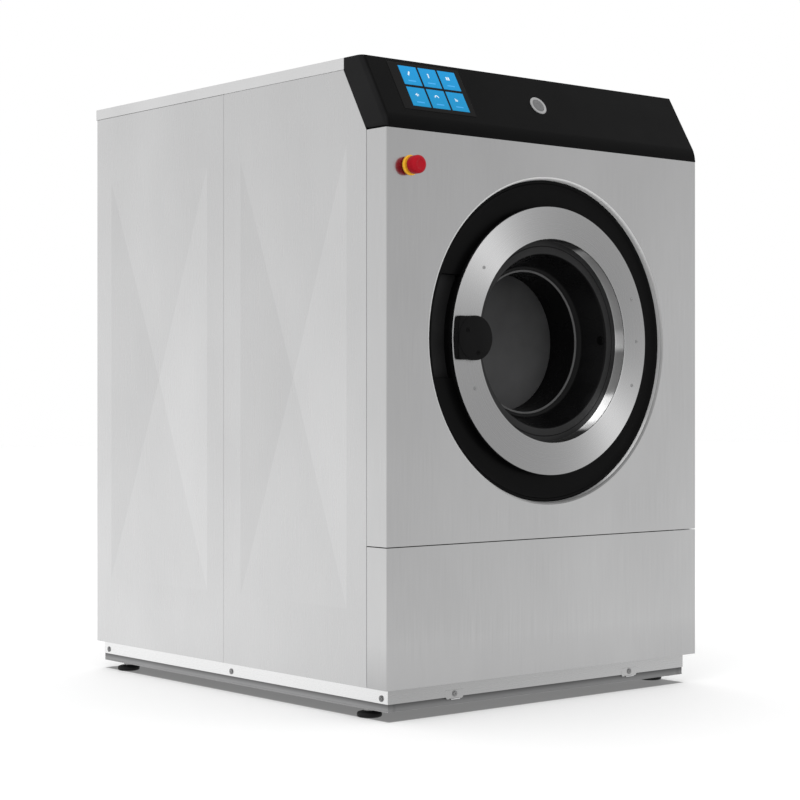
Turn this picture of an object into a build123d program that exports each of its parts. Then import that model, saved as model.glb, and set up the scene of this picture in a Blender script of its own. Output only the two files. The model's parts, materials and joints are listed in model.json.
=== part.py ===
from build123d import *
from math import atan2, cos, degrees, radians, sin, sqrt
import os

# Front-loading washer-extractor. Millimetres, x to the right, y back from the front panel,
# z up from the floor. Every node is moved at the end so that the origin lies under the
# middle of the whole machine.

# Cabinet
cabinet_width = 890
cabinet_depth = 1057
floor_gap = 64
panel_height = 1214
cover_height = 24
cover_overhang = 5
sheet = 1.5
bend = 3
seam = 0.8
overrun = 5
clearance = 0.3

# Front and side panels
front_return = 60.5
side_split = 544.5
panel_return = 22
panel_fold = 12
service_height = 277
service_return = 23
crossbreak_depth = 4
crossbreak_side_inset = 62
crossbreak_end_inset = 150

# Console
console_lip_height = 21
console_lip_rise = 3
console_slope_run = 74.5
console_slope_height = 129
console_top_depth = 55
console_wall = 3
screen_width = 190
screen_height = 117
screen_from_side = 154
screen_centre_up = 82.5
screen_thickness = 4
screen_proud = 0.6
screen_corner = 4
start_up = 76
start_bezel_radius = 21
start_bezel_height = 2.4
start_radius = 14.6
start_proud = 1.2
start_depth = 8
start_play = 0.25

# Base frame and levelling feet
base_inset = 20
strip_height = 30.3
strip_thickness = 1.5
rail_height = 46
rail_width = 45
rail_wall = 3
cross_width = 50
foot_from_front = 99.7
foot_from_rear = 74.6
foot_from_side = 39.2
foot_radius = 25
foot_height = 11
foot_stud_radius = 6
foot_stud_top = 46
clip_from_side = 193
clip_width = 46
clip_height = 18
clip_drop = 4
clip_thickness = 2
clip_corner = 5

# Inner frame of square tube
post_size = 30
post_wall = 2

# Door opening, surround and the ring that stiffens the front
door_rise = 683.5
opening_radius = 334
surround_wall = 3
surround_front = -0.5
surround_slope_in = 16
surround_floor = 16
surround_inner_radius = 243
surround_outer_radius = 352
grip_inner_radius = 270
grip_outer_radius = 318
grip_depth = 14.5
grip_rise = 129
grip_drop = 78
stiffener_corner = 90

# Door
ring_radius = 278
ring_front = -4
ring_inner_radius = 209.6
ring_inner_front = -8.7
ring_wall = 2
bowl_flange_front = 19
bowl_wall = 5
bowl_mouth_radius = 179.4
bowl_step_depth = 80
bowl_taper = 19.4
bowl_step_width = 12.6
bowl_depth = 153
frame_front = 1
frame_outer_radius = 275.5
frame_back = 12
frame_hub_radius = 240

# Handle
handle_reach = 273
handle_rise = 1.5
handle_half_height = 43.5
handle_disc_x = -229
handle_disc_radius = 44.6
handle_front = -17.5
handle_disc_front = -19
handle_chamfer = 3

# Hinge, hidden behind the right edge of the ring
hinge_x = 284
hinge_y = 10
knuckle_radius = 6
hinge_pin_radius = 4
hinge_pin_head_radius = 5.5
hinge_pin_head = 2.5
pin_play = 0.05
hinge_half_height = 58
arm_half_height = 21.5
knuckle_gap = 0.5
leaf_thickness = 3
leaf_reach = 38
arm_thickness = 6
arm_reach = 48

# Latch hook on the door and lock behind the front
hook_x = -257
hook_width = 10
hook_half_height = 6
hook_length = 46
hook_foot_width = 17
hook_foot_half_height = 13
hook_foot_thickness = 2.5
hook_window_half = 4.7
hook_window_depth = 52
lock_left = -300
lock_right = -249
lock_depth = 43
lock_half_height = 45
lock_slot_depth = 27
lock_slot_play = 4
bolt_radius = 4
bolt_length = 31
bolt_travel = 14

# Gasket between the front and the tub
gasket_wall = 6
gasket_radius = 207
gasket_outer_radius = 248

# Tub with its cradle, springs and weights
tub_radius = 382
tub_wall = 2
tub_front = 147
tub_length = 590
tub_mouth_radius = 205
tub_back_thickness = 8
tub_back_overhang = 2
cradle_thickness = 6
cradle_half_width = 345
cradle_bottom = 190
cradle_flange = 70
cradle_front_y = 250
cradle_rear_y = 630
spring_x = 300
spring_radius = 50
damper_x = 205
damper_radius = 18
weight_inner_radius = 252
weight_outer_radius = 366
weight_thickness = 40
weight_half_angle = 62

# Drum
drum_radius = 350
drum_wall = 1.5
drum_front = 166
drum_length = 534
drum_mouth_radius = 198
lifter_count = 3
lifter_base = 92
lifter_top = 34
lifter_height = 70
lifter_end_gap = 18

# Spider, shaft and bearings
spider_depth = 28
spider_hub_radius = 50
spider_arm_width = 64
spider_tip_width = 40
spider_tip_depth = 12
spider_arm_reach = 338
shaft_radius = 25
housing_hub_radius = 60
housing_flange_radius = 160
housing_flange = 14
housing_length = 170
rib_count = 6
rib_thickness = 10
rib_reach = 80
rib_length = 110
bearing_radius = 45
bearing_width = 20
bearing_front_wall = 30

# Belt drive and motor
pulley_radius = 175
pulley_rim = 15
pulley_width = 40
pulley_web = 8
pulley_gap = 8
motor_pulley_radius = 45
belt_thickness = 5
belt_width = 30
motor_radius = 80
motor_length = 215
motor_drop = 468
motor_shaft_depth = 22
motor_shaft_radius = 14
motor_box_width = 90
motor_box_length = 110
motor_box_height = 22
bracket_thickness = 12
bracket_half_width = 105

# Water, drain, heating and electrics
drain_radius = 38
drain_wall = 3
drain_valve_size = 96
drain_valve_y = 420
drain_z = 130
drain_reach = 45
drain_shoulder = 2
drain_sleeve_radius = 40
heater_rod_radius = 4.5
heater_spread = 9
heater_angles = [-100, -80]
heater_length = 430
heater_gap_radius = 365
heater_flange_thickness = 6
heater_flange_margin = 5
valve_from_side = 185
valve_spacing = 80
valve_z = 1175
valve_body = 44
valve_length = 55
manifold_depth = 16
manifold_half_height = 11
inlet_radius = 13.2
inlet_reach = 18
inlet_neck_radius = 15
inlet_shoulder = 1
inlet_bore_radius = 8
hose_radius = 12
hose_wall = 2.5
hose_y = 560
control_box_width = 243
control_box_depth = 240
control_box_height = 130
gland_from_side = 145
gland_z = 1180
gland_radius = 14
gland_bore_radius = 8
gland_reach = 22
gland_hex_radius = 18
gland_hex_height = 8

# Rear access cover
access_half_width = 200
access_bottom = 200
access_top = 960
access_lap = 15
louvre_count = 6
louvre_width = 240
louvre_height = 7
louvre_pitch = 36

# Emergency stop
stop_from_side = 61
stop_rise = 1018
stop_collar_radius = 20
stop_collar_height = 3
stop_barrel_radius = 11
stop_barrel_length = 38
stop_head_radius = 18
stop_head_depth = 22
stop_head_front = -30
stop_stem_radius = 7
stop_stem_length = 20
stop_play = 0.2

# Places worked out from the sizes above
half_width = cabinet_width / 2
screen_centre_x = screen_from_side - half_width
stop_x = stop_from_side - half_width
clip_centre_x = half_width - clip_from_side
gland_x = half_width - gland_from_side
cold_x = valve_from_side - half_width
hot_x = cold_x + valve_spacing
valve_places = (cold_x, hot_x)
valve_front = cabinet_depth - sheet - valve_length
manifold_front = valve_front - manifold_depth
panel_top = floor_gap + panel_height
machine_top = panel_top + cover_height
door_z = floor_gap + door_rise
service_top = floor_gap + service_height
console_bottom = panel_top + cover_height - console_lip_height - console_slope_height
crease_z = console_bottom + console_lip_height
slope_back = console_lip_rise + console_slope_run
console_back = slope_back + console_top_depth
slope_angle = degrees(atan2(console_slope_run, console_slope_height))
surround_back = surround_floor + surround_wall
bowl_back = bowl_flange_front + bowl_wall
bowl_step_outer_radius = bowl_mouth_radius - bowl_taper
bowl_step_inner_radius = bowl_step_outer_radius - bowl_step_width
stiffener_back = bowl_back + clearance
grip_floor = surround_floor + grip_depth
grip_back = grip_floor + surround_wall
tub_end = tub_front + tub_length - tub_wall
tub_back_end = tub_end + tub_back_thickness
spider_front = drum_front + drum_length
housing_end = tub_end + housing_length
pulley_front = housing_end + pulley_gap
pulley_end = pulley_front + pulley_width
motor_z = door_z - motor_drop
front_reach = -stop_head_front
rear_reach = drain_reach
mid_y = (cabinet_depth + rear_reach - front_reach) / 2
rail_bottom = floor_gap - rail_height
rail_x = half_width - base_inset - strip_thickness
foot_x = half_width - foot_from_side
foot_places = [
    (side * foot_x, y)
    for side in (-1, 1)
    for y in (foot_from_front, cabinet_depth - foot_from_rear)
]
post_x = half_width - panel_return
cradle_places = (cradle_front_y, cradle_rear_y)


# Shapes that several pieces use

def block(x_low, x_high, y_low, y_high, z_low, z_high):
    size = Box(x_high - x_low, y_high - y_low, z_high - z_low)
    return Pos((x_low + x_high) / 2, (y_low + y_high) / 2, (z_low + z_high) / 2) * size


def outline(corners):
    # Each corner is a point, with a rounding radius after it where the corner is rounded
    face = make_face(Polyline([corner[:2] for corner in corners], close=True))
    for x, y, *rounding in corners:
        if rounding:
            face = fillet(face.vertices().sort_by_distance((x, y, 0))[0], rounding[0])
    return face


def turned(corners, x=0, z=door_z):
    # Corners are (radius, y) about an axis along y through x and z
    return Pos(x, 0, z) * revolve(outline(corners), Axis.Y)


def sector(corners, middle, half_angle):
    # Part of a turned shape about the door's axis, middle counted from +x towards +z
    arc = revolve(outline(corners), Axis.Y, 2 * half_angle)
    return Pos(0, 0, door_z) * Rot(0, -(middle + half_angle), 0) * arc


def rod_y(x, z, y_low, y_high, radius):
    return Pos(x, (y_low + y_high) / 2, z) * Rot(90, 0, 0) * Cylinder(radius, y_high - y_low)


def rod_z(x, y, z_low, z_high, radius):
    return Pos(x, y, (z_low + z_high) / 2) * Cylinder(radius, z_high - z_low)


def side_face(corners):
    # A face in the plane of y and z
    return Plane.YZ * outline(corners)


def along_x(face, x_low, x_high):
    return Pos(x_low, 0, 0) * extrude(face, x_high - x_low)


def group(shapes):
    # Separate solids in one node
    return Compound([solid for shape in shapes for solid in shape.solids()])


def both_sides(shape):
    return group([shape, mirror(shape, about=Plane.YZ)])


def save(node, shape):
    export_step(Pos(0, -mid_y, 0) * shape, f"parts/{node}.step")


def hexagon(radius, height):
    return extrude(RegularPolygon(radius, 6), height)


# Cabinet

def side_panel(corners, middle_y, break_width):
    # Skin with its four edges folded in, and a shallow four-sided hollow pressed into it
    face = side_face(corners)
    tray = along_x(face, half_width - panel_return, half_width)
    inside = Plane.YZ * offset(outline(corners), -sheet)
    tray -= along_x(inside, half_width - panel_return - overrun, half_width - sheet)
    middle_z = (floor_gap + panel_top) / 2
    base_plane = Plane((half_width, middle_y, middle_z), x_dir=(0, 1, 0), z_dir=(-1, 0, 0))
    base = base_plane * Rectangle(break_width, panel_height - 2 * crossbreak_end_inset)
    apex = Vertex(half_width - crossbreak_depth, middle_y, middle_z)
    pressed = loft([base.face(), apex], ruled=True)
    return tray + Pos(-sheet, 0, 0) * pressed - pressed


def front_side_panel():
    y_front = front_return + seam
    slant_top = console_back + seam
    corners = [
        (y_front, floor_gap),
        (side_split - seam / 2, floor_gap),
        (side_split - seam / 2, panel_top),
        (slant_top, panel_top),
        (y_front, console_bottom),
    ]
    middle = (y_front + side_split) / 2
    return side_panel(corners, middle, side_split - y_front - 2 * crossbreak_side_inset)


def rear_side_panel():
    corners = [
        (side_split + seam / 2, floor_gap),
        (cabinet_depth, floor_gap),
        (cabinet_depth, panel_top),
        (side_split + seam / 2, panel_top),
    ]
    middle = (side_split + cabinet_depth) / 2
    return side_panel(corners, middle, cabinet_depth - side_split - 2 * crossbreak_side_inset)


def front_skin(z_low, z_high, lower_return):
    # Front sheet with its two sides folded back, and narrow folds at its top and bottom
    inner = half_width - sheet
    skin = extrude(
        outline(
            [
                (-half_width, front_return),
                (-half_width, 0, bend),
                (half_width, 0, bend),
                (half_width, front_return),
                (inner, front_return),
                (inner, sheet, bend - sheet),
                (-inner, sheet, bend - sheet),
                (-inner, front_return),
            ]
        ),
        z_high - z_low,
    )
    skin = Pos(0, 0, z_low) * skin
    low_fold = block(-inner, inner, sheet, lower_return, z_low, z_low + sheet)
    high_fold = block(-inner, inner, sheet, panel_fold, z_high - sheet, z_high)
    return skin + low_fold + high_fold


def front_panel():
    panel = front_skin(service_top, console_bottom, panel_fold)
    panel -= rod_y(0, door_z, -overrun, sheet + overrun, opening_radius)
    hole = stop_barrel_radius + stop_play
    return panel - rod_y(stop_x, floor_gap + stop_rise, -overrun, sheet + overrun, hole)


def service_panel():
    return front_skin(floor_gap, service_top - 2 * seam, service_return)


def rear_sheet(x_low, x_high, z_low, z_high):
    return block(x_low, x_high, cabinet_depth - sheet, cabinet_depth, z_low, z_high)


def rear_hole(x, z, radius):
    return rod_y(x, z, cabinet_depth - sheet - overrun, cabinet_depth + overrun, radius + clearance)


def rear_panel():
    # One sheet on each side of the opening that the access cover closes
    edge = post_x - clearance
    return both_sides(rear_sheet(access_half_width, edge, access_bottom + seam, access_top - seam))


def rear_connection_panel():
    edge = post_x - clearance
    panel = rear_sheet(-edge, edge, access_top, panel_top)
    for x in valve_places:
        panel -= rear_hole(x, valve_z, inlet_neck_radius)
    return panel - rear_hole(gland_x, gland_z, gland_radius)


def rear_drain_panel():
    edge = post_x - clearance
    return rear_sheet(-edge, edge, floor_gap, access_bottom) - rear_hole(0, drain_z, drain_sleeve_radius)


def rear_access_cover():
    edge = access_half_width + access_lap
    y_low = cabinet_depth
    cover = block(-edge, edge, y_low, y_low + sheet, access_bottom - access_lap, access_top + access_lap)
    for row in range(louvre_count):
        z = access_top - louvre_pitch * (row + 2)
        cut = block(
            -louvre_width / 2,
            louvre_width / 2,
            y_low - overrun,
            y_low + sheet + overrun,
            z - louvre_height / 2,
            z + louvre_height / 2,
        )
        cover -= cut
    return cover


def top_cover():
    y_low = console_back
    y_high = cabinet_depth + cover_overhang
    cover = block(-half_width, half_width, y_low, y_high, panel_top, machine_top)
    inner = half_width - sheet
    hollow = block(
        -inner, inner, y_low + sheet, y_high - sheet, panel_top - overrun, machine_top - sheet
    )
    return cover - hollow


# Base, feet and inner frame

def channel(length):
    # C section along y with closed ends, its open side towards -x, its outer side at x 0
    section = block(-rail_width, 0, 0, length, 0, rail_height)
    y_high, z_high = length - rail_wall, rail_height - rail_wall
    hollow = block(-rail_width - overrun, -rail_wall, rail_wall, y_high, rail_wall, z_high)
    return section - hollow


def side_rails():
    y_low = base_inset + strip_thickness
    rail = Pos(rail_x, y_low, rail_bottom) * channel(cabinet_depth - y_low)
    for x, y in foot_places:
        if x > 0:
            half = foot_stud_radius + clearance
            z_low, z_high = rail_bottom - overrun, rail_bottom + rail_wall + overrun
            rail -= block(x - half, x + half, y - half, y + half, z_low, z_high)
    return [rail, mirror(rail, about=Plane.YZ)]


def cross_member(y_low):
    inner = rail_x - rail_width
    beam = block(-inner, inner, y_low, y_low + cross_width, rail_bottom, floor_gap)
    hollow = block(
        -inner - overrun,
        inner + overrun,
        y_low + rail_wall,
        y_low + cross_width - rail_wall,
        rail_bottom - overrun,
        floor_gap - rail_wall,
    )
    return beam - hollow


def base_frame():
    front = base_inset + strip_thickness
    starts = [front, cabinet_depth - cross_width]
    starts += [y - cross_width / 2 for y in cradle_places]
    return group(side_rails() + [cross_member(y) for y in starts])


def base_skirt():
    # One bright strip on each side and one across the front
    z_low = floor_gap - strip_height
    outer = rail_x + strip_thickness
    side = block(rail_x, outer, base_inset + strip_thickness, cabinet_depth, z_low, floor_gap)
    front = block(-outer, outer, base_inset, base_inset + strip_thickness, z_low, floor_gap)
    return group([side, mirror(side, about=Plane.YZ), front])


def service_panel_clips():
    z_low = floor_gap - strip_height - clip_drop
    z_high = z_low + clip_height
    half = clip_width / 2
    shape = Plane.XZ * outline(
        [(-half, z_low, clip_corner), (half, z_low, clip_corner), (half, z_high), (-half, z_high)]
    )
    clip = Pos(clip_centre_x, base_inset, 0) * extrude(shape, clip_thickness)
    return both_sides(clip)


def levelling_feet():
    feet = []
    for x, y in foot_places:
        foot = rod_z(x, y, 0, foot_height, foot_radius)
        foot += rod_z(x, y, foot_height, foot_stud_top, foot_stud_radius)
        feet.append(foot)
    return group(feet)


def tube_post(x_low, y_low, z_low, z_high):
    post = block(x_low, x_low + post_size, y_low, y_low + post_size, z_low, z_high)
    hollow = block(
        x_low + post_wall,
        x_low + post_size - post_wall,
        y_low + post_wall,
        y_low + post_size - post_wall,
        z_low - overrun,
        z_high + overrun,
    )
    return post - hollow


def corner_posts():
    ys = (front_return + seam, cabinet_depth - sheet - post_size)
    posts = [tube_post(post_x - post_size, y, floor_gap, console_bottom) for y in ys]
    return posts + [mirror(post, about=Plane.YZ) for post in posts]


def top_rails():
    front = front_return + seam
    back = cabinet_depth - sheet - post_size
    z_low = console_bottom - post_size
    side = block(post_x - post_size, post_x, front + post_size, back, z_low, console_bottom)
    inner = post_x - post_size
    cross = [
        block(-inner, inner, y, y + post_size, z_low, console_bottom) for y in (front, back)
    ]
    return [side, mirror(side, about=Plane.YZ)] + cross


def inner_frame():
    return group(corner_posts() + top_rails())


# Console

slope_plane = Plane(
    (0, console_lip_rise, crease_z),
    x_dir=(1, 0, 0),
    z_dir=(0, -cos(radians(slope_angle)), sin(radians(slope_angle))),
)


def console_corners():
    return [
        (0, console_bottom),
        (console_lip_rise, crease_z),
        (slope_back, machine_top),
        (console_back, machine_top),
        (console_back, panel_top),
        (front_return, console_bottom),
    ]


def console_housing():
    housing = along_x(side_face(console_corners()), -half_width, half_width)
    inside = Plane.YZ * offset(outline(console_corners()), -console_wall)
    inner = half_width - console_wall
    housing -= along_x(inside, -inner, inner)
    recess = slope_plane * Pos(screen_centre_x, screen_centre_up, -screen_thickness + screen_proud)
    pocket = RectangleRounded(
        screen_width + 2 * clearance, screen_height + 2 * clearance, screen_corner
    )
    housing -= recess * extrude(pocket, screen_thickness + overrun)
    hole = slope_plane * Pos(0, start_up, -console_wall - overrun)
    bore = Cylinder(
        start_radius + start_play,
        console_wall + 2 * overrun,
        align=(Align.CENTER, Align.CENTER, Align.MIN),
    )
    return housing - hole * bore


def touch_screen():
    # Seated in its own pocket, with its rear tray inside the housing
    face = RectangleRounded(screen_width, screen_height, screen_corner)
    place = slope_plane * Pos(screen_centre_x, screen_centre_up, screen_proud - screen_thickness)
    return place * extrude(face, screen_thickness)


def start_button_bezel():
    align = (Align.CENTER, Align.CENTER, Align.MIN)
    ring = Cylinder(start_bezel_radius, start_bezel_height, align=align)
    ring -= Cylinder(start_radius + start_play, start_bezel_height, align=align)
    return slope_plane * Pos(0, start_up, 0) * ring


def start_button():
    cap = Cylinder(start_radius, start_depth, align=(Align.CENTER, Align.CENTER, Align.MAX))
    return slope_plane * Pos(0, start_up, start_proud) * cap


# Emergency stop

def emergency_stop_collar():
    z = floor_gap + stop_rise
    inner = stop_stem_radius + stop_play
    collar = [
        (inner, -stop_collar_height),
        (stop_collar_radius, -stop_collar_height),
        (stop_collar_radius, 0),
        (stop_barrel_radius, 0),
        (stop_barrel_radius, stop_barrel_length),
        (inner, stop_barrel_length),
    ]
    return turned(collar, stop_x, z)


def emergency_stop_head():
    back = stop_head_front + stop_head_depth
    head = [
        (0, stop_head_front),
        (stop_head_radius, stop_head_front),
        (stop_head_radius, back),
        (stop_stem_radius, back),
        (stop_stem_radius, back + stop_stem_length),
        (0, back + stop_stem_length),
    ]
    return turned(head, stop_x, floor_gap + stop_rise)


# Door surround and stiffener

def grip_part(corners, margin):
    # Left part of a turned shape, between the ends of the grip pocket
    z_low, z_high = door_z - grip_drop - margin, door_z + grip_rise + margin
    return turned(corners) & block(-surround_outer_radius, 0, 0, grip_back + overrun, z_low, z_high)


def door_surround():
    outer = opening_radius - clearance
    slope_radius = outer - surround_slope_in
    body = turned(
        [
            (outer, surround_front),
            (slope_radius, surround_floor),
            (surround_inner_radius, surround_floor),
            (surround_inner_radius, surround_back),
            (surround_outer_radius, surround_back),
            (surround_outer_radius, sheet),
            (outer, sheet),
        ]
    )
    wall = surround_wall
    pocket = [
        (grip_inner_radius - wall, surround_floor),
        (grip_outer_radius + wall, surround_floor),
        (grip_outer_radius + wall, grip_back),
        (grip_inner_radius - wall, grip_back),
    ]
    hollow = [
        (grip_inner_radius, 0),
        (grip_outer_radius, 0),
        (grip_outer_radius, grip_floor),
        (grip_inner_radius, grip_floor),
    ]
    body += grip_part(pocket, wall)
    body -= grip_part(hollow, 0)
    groove = knuckle_radius + 2 * knuckle_gap
    reach = hinge_half_height + hinge_pin_head + 2 * knuckle_gap
    body -= rod_z(hinge_x, hinge_y, door_z - reach, door_z + reach, groove)
    return body - hook_slot(surround_back)


def hook_slot(y_high):
    half = hook_width / 2 + lock_slot_play - clearance
    return block(
        hook_x - half,
        hook_x + half,
        surround_floor - overrun,
        y_high + overrun,
        door_z - hook_half_height - lock_slot_play,
        door_z + hook_half_height + lock_slot_play,
    )


def door_stiffener():
    # Square steel plate with its corners cut off, behind the whole surround
    half = surround_outer_radius
    plate = block(-half, half, surround_back, stiffener_back, door_z - half, door_z + half)
    plate = chamfer(plate.edges().filter_by(Axis.Y), stiffener_corner)
    low, high = surround_back - overrun, stiffener_back + overrun
    plate -= rod_y(0, door_z, low, high, surround_inner_radius)
    wall = surround_wall + clearance
    cut = [
        (grip_inner_radius - wall, surround_back - overrun),
        (grip_outer_radius + wall, surround_back - overrun),
        (grip_outer_radius + wall, stiffener_back + overrun),
        (grip_inner_radius - wall, stiffener_back + overrun),
    ]
    plate -= grip_part(cut, wall)
    return plate - hook_slot(stiffener_back)


# Door

def door_ring():
    # Slightly conical steel ring, turned inwards to a deep throat round the bowl
    throat = ring_inner_radius + ring_wall
    return turned(
        [
            (ring_radius, frame_front),
            (ring_radius, ring_front),
            (ring_inner_radius, ring_inner_front),
            (ring_inner_radius, bowl_flange_front),
            (throat, bowl_flange_front),
            (throat, frame_front),
        ]
    )


def door_frame():
    inner = ring_inner_radius + ring_wall + clearance
    frame = turned(
        [
            (inner, frame_front),
            (frame_outer_radius, frame_front),
            (frame_outer_radius, frame_back),
            (frame_hub_radius, frame_back),
            (frame_hub_radius, bowl_flange_front),
            (inner, bowl_flange_front),
        ]
    )
    arm_left = hinge_x - arm_reach
    play = clearance
    notch = block(
        arm_left - play,
        hinge_x,
        hinge_y - knuckle_radius,
        frame_back + overrun,
        door_z - arm_half_height - play,
        door_z + arm_half_height + play,
    )
    return frame - notch


def door_bowl():
    # Deep bowl with a step half way, its flange screwed to the back of the frame
    step = bowl_step_depth
    wall = bowl_wall
    return turned(
        [
            (frame_hub_radius, bowl_flange_front),
            (bowl_mouth_radius, bowl_flange_front),
            (bowl_step_outer_radius, step),
            (bowl_step_inner_radius, step),
            (bowl_step_inner_radius, bowl_depth),
            (0, bowl_depth),
            (0, bowl_depth + wall),
            (bowl_step_outer_radius + wall, bowl_depth + wall),
            (bowl_mouth_radius + wall, bowl_back),
            (frame_hub_radius, bowl_back),
        ]
    )


def hinge_arm():
    # Flat arm let into the frame, with its knuckle between the two fixed ones
    low, high = door_z - arm_half_height, door_z + arm_half_height
    front = hinge_y - knuckle_radius
    arm = block(hinge_x - arm_reach, hinge_x, front, front + arm_thickness, low, high)
    arm += rod_z(hinge_x, hinge_y, low, high, knuckle_radius)
    return arm - rod_z(hinge_x, hinge_y, low - overrun, high + overrun, hinge_pin_radius + pin_play)


def hinge_bracket():
    leaf_back = hinge_y + knuckle_radius
    bracket = block(
        hinge_x - leaf_reach,
        hinge_x,
        leaf_back - leaf_thickness,
        leaf_back,
        door_z - hinge_half_height,
        door_z + hinge_half_height,
    )
    gap = arm_half_height + knuckle_gap
    bracket += rod_z(
        hinge_x, hinge_y, door_z - hinge_half_height, door_z + hinge_half_height, knuckle_radius
    )
    room = knuckle_radius + knuckle_gap
    bracket -= block(
        hinge_x - room,
        hinge_x + room,
        hinge_y - room,
        leaf_back + overrun,
        door_z - gap,
        door_z + gap,
    )
    bore = hinge_pin_radius + pin_play
    reach = hinge_half_height + overrun
    return bracket - rod_z(hinge_x, hinge_y, door_z - reach, door_z + reach, bore)


def hinge_pin():
    low, high = door_z - hinge_half_height, door_z + hinge_half_height
    pin = rod_z(hinge_x, hinge_y, low - hinge_pin_head, high, hinge_pin_radius)
    return pin + rod_z(hinge_x, hinge_y, high, high + hinge_pin_head, hinge_pin_head_radius)


def door_handle():
    # Plate on the ring, its left side along the ring's edge, ended by a round boss
    z = door_z + handle_rise
    low, high = z - handle_half_height, z + handle_half_height
    inner = ring_inner_radius - clearance
    plate = turned([(inner, handle_front), (handle_reach, handle_front), (handle_reach, 0), (inner, 0)])
    plate &= block(-ring_radius, handle_disc_x, handle_front - overrun, 0, low, high)
    plate = chamfer(plate.edges().group_by(Axis.Y)[0].sort_by(Axis.X)[0], handle_chamfer)
    disc = rod_y(handle_disc_x, z, handle_disc_front, 0, handle_disc_radius)
    seat = turned(
        [
            (inner, ring_inner_front - clearance),
            (ring_radius + overrun, ring_front - clearance),
            (ring_radius + overrun, overrun),
            (inner, overrun),
        ]
    )
    return plate + disc - seat


def latch_hook():
    back = frame_back + hook_length
    low, high = door_z - hook_half_height, door_z + hook_half_height
    half = hook_width / 2
    hook = block(hook_x - half, hook_x + half, frame_back, back, low, high)
    foot_left = hook_x - half
    hook += block(
        foot_left,
        foot_left + hook_foot_width,
        frame_back,
        frame_back + hook_foot_thickness,
        door_z - hook_foot_half_height,
        door_z + hook_foot_half_height,
    )
    half = hook_window_half
    middle = hook_window_depth
    window = block(
        hook_x - half, hook_x + half, middle - half, middle + half, low - overrun, high + overrun
    )
    return hook - window


def door_lock_body():
    y_low = grip_back
    body = block(
        lock_left,
        lock_right,
        y_low,
        y_low + lock_depth,
        door_z - lock_half_height,
        door_z + lock_half_height,
    )
    half = hook_half_height + lock_slot_play / 2
    slot_left = hook_x - hook_width / 2 - lock_slot_play
    slot = block(
        slot_left,
        lock_right + overrun,
        y_low - overrun,
        y_low + lock_slot_depth,
        door_z - half,
        door_z + half,
    )
    bore = rod_z(
        hook_x,
        hook_window_depth,
        door_z - lock_half_height - overrun,
        door_z + hook_half_height + bolt_travel,
        bolt_radius + pin_play,
    )
    return body - slot - bore


def lock_bolt():
    top = door_z - hook_half_height - lock_slot_play / 2 - clearance
    return rod_z(hook_x, hook_window_depth, top - bolt_length, top, bolt_radius)


# Tub group

def door_gasket():
    # Rubber lip behind the flange of the bowl, and a sleeve back to the mouth of the tub
    lip_back = stiffener_back + gasket_wall
    tub_face = tub_front - tub_wall
    return turned(
        [
            (gasket_radius, stiffener_back),
            (gasket_outer_radius, stiffener_back),
            (gasket_outer_radius, lip_back),
            (gasket_radius + gasket_wall, lip_back),
            (gasket_radius + gasket_wall, tub_face),
            (gasket_radius, tub_face),
        ]
    )


def tub_shell():
    front = tub_front - tub_wall
    return turned(
        [
            (tub_mouth_radius, front),
            (tub_radius, front),
            (tub_radius, tub_end),
            (tub_radius - tub_wall, tub_end),
            (tub_radius - tub_wall, tub_front),
            (tub_mouth_radius, tub_front),
        ]
    )


def heater_middles():
    places = []
    for angle in heater_angles:
        x = heater_gap_radius * cos(radians(angle))
        places.append((x, door_z + heater_gap_radius * sin(radians(angle))))
    return places


def around_heater(x, z, y_low, y_high, margin):
    half = heater_spread + heater_rod_radius + margin
    high = heater_rod_radius + margin
    return block(x - half, x + half, y_low, y_high, z - high, z + high)


def tub_back():
    plate = rod_y(0, door_z, tub_end, tub_back_end, tub_radius + tub_back_overhang)
    hole = housing_hub_radius + clearance
    plate -= rod_y(0, door_z, tub_end - overrun, tub_back_end + overrun, hole)
    for x, z in heater_middles():
        plate -= around_heater(x, z, tub_end - overrun, tub_back_end + overrun, clearance)
    return plate


def heating_elements():
    # Hairpins of two rods each, let in through the back of the tub
    start = tub_end - heater_length
    flange = tub_back_end + heater_flange_thickness
    elements = []
    for x, z in heater_middles():
        element = around_heater(x, z, tub_back_end, flange, heater_flange_margin)
        element += around_heater(x, z, start, start + heater_rod_radius, 0)
        for side in (-1, 1):
            element += rod_y(x + side * heater_spread, z, start, flange, heater_rod_radius)
        elements.append(element)
    return group(elements)


def bearing_housing():
    hub = housing_hub_radius
    bore = bearing_radius + pin_play
    housing = turned([(bore, tub_end), (hub, tub_end), (hub, housing_end), (bore, housing_end)])
    foot = tub_back_end + housing_flange
    flange = Rot(90, 0, 0) * hexagon(housing_flange_radius, housing_flange)
    flange -= rod_y(0, 0, -housing_flange, 0, hub - rib_thickness / 2)
    housing += Pos(0, foot, door_z) * flange
    inner = hub - rib_thickness / 2
    web = outline([(inner, foot), (hub + rib_reach, foot), (inner, foot + rib_length)])
    web = extrude(web, rib_thickness / 2, both=True)
    for number in range(rib_count):
        housing += Pos(0, 0, door_z) * Rot(0, number * 360 / rib_count, 0) * web
    return housing


def shaft_bearings():
    starts = (tub_end + bearing_front_wall, housing_end - bearing_width)
    inner = shaft_radius + pin_play
    return group(
        [
            rod_y(0, door_z, y, y + bearing_width, bearing_radius)
            - rod_y(0, door_z, y - overrun, y + bearing_width + overrun, inner)
            for y in starts
        ]
    )


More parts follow.
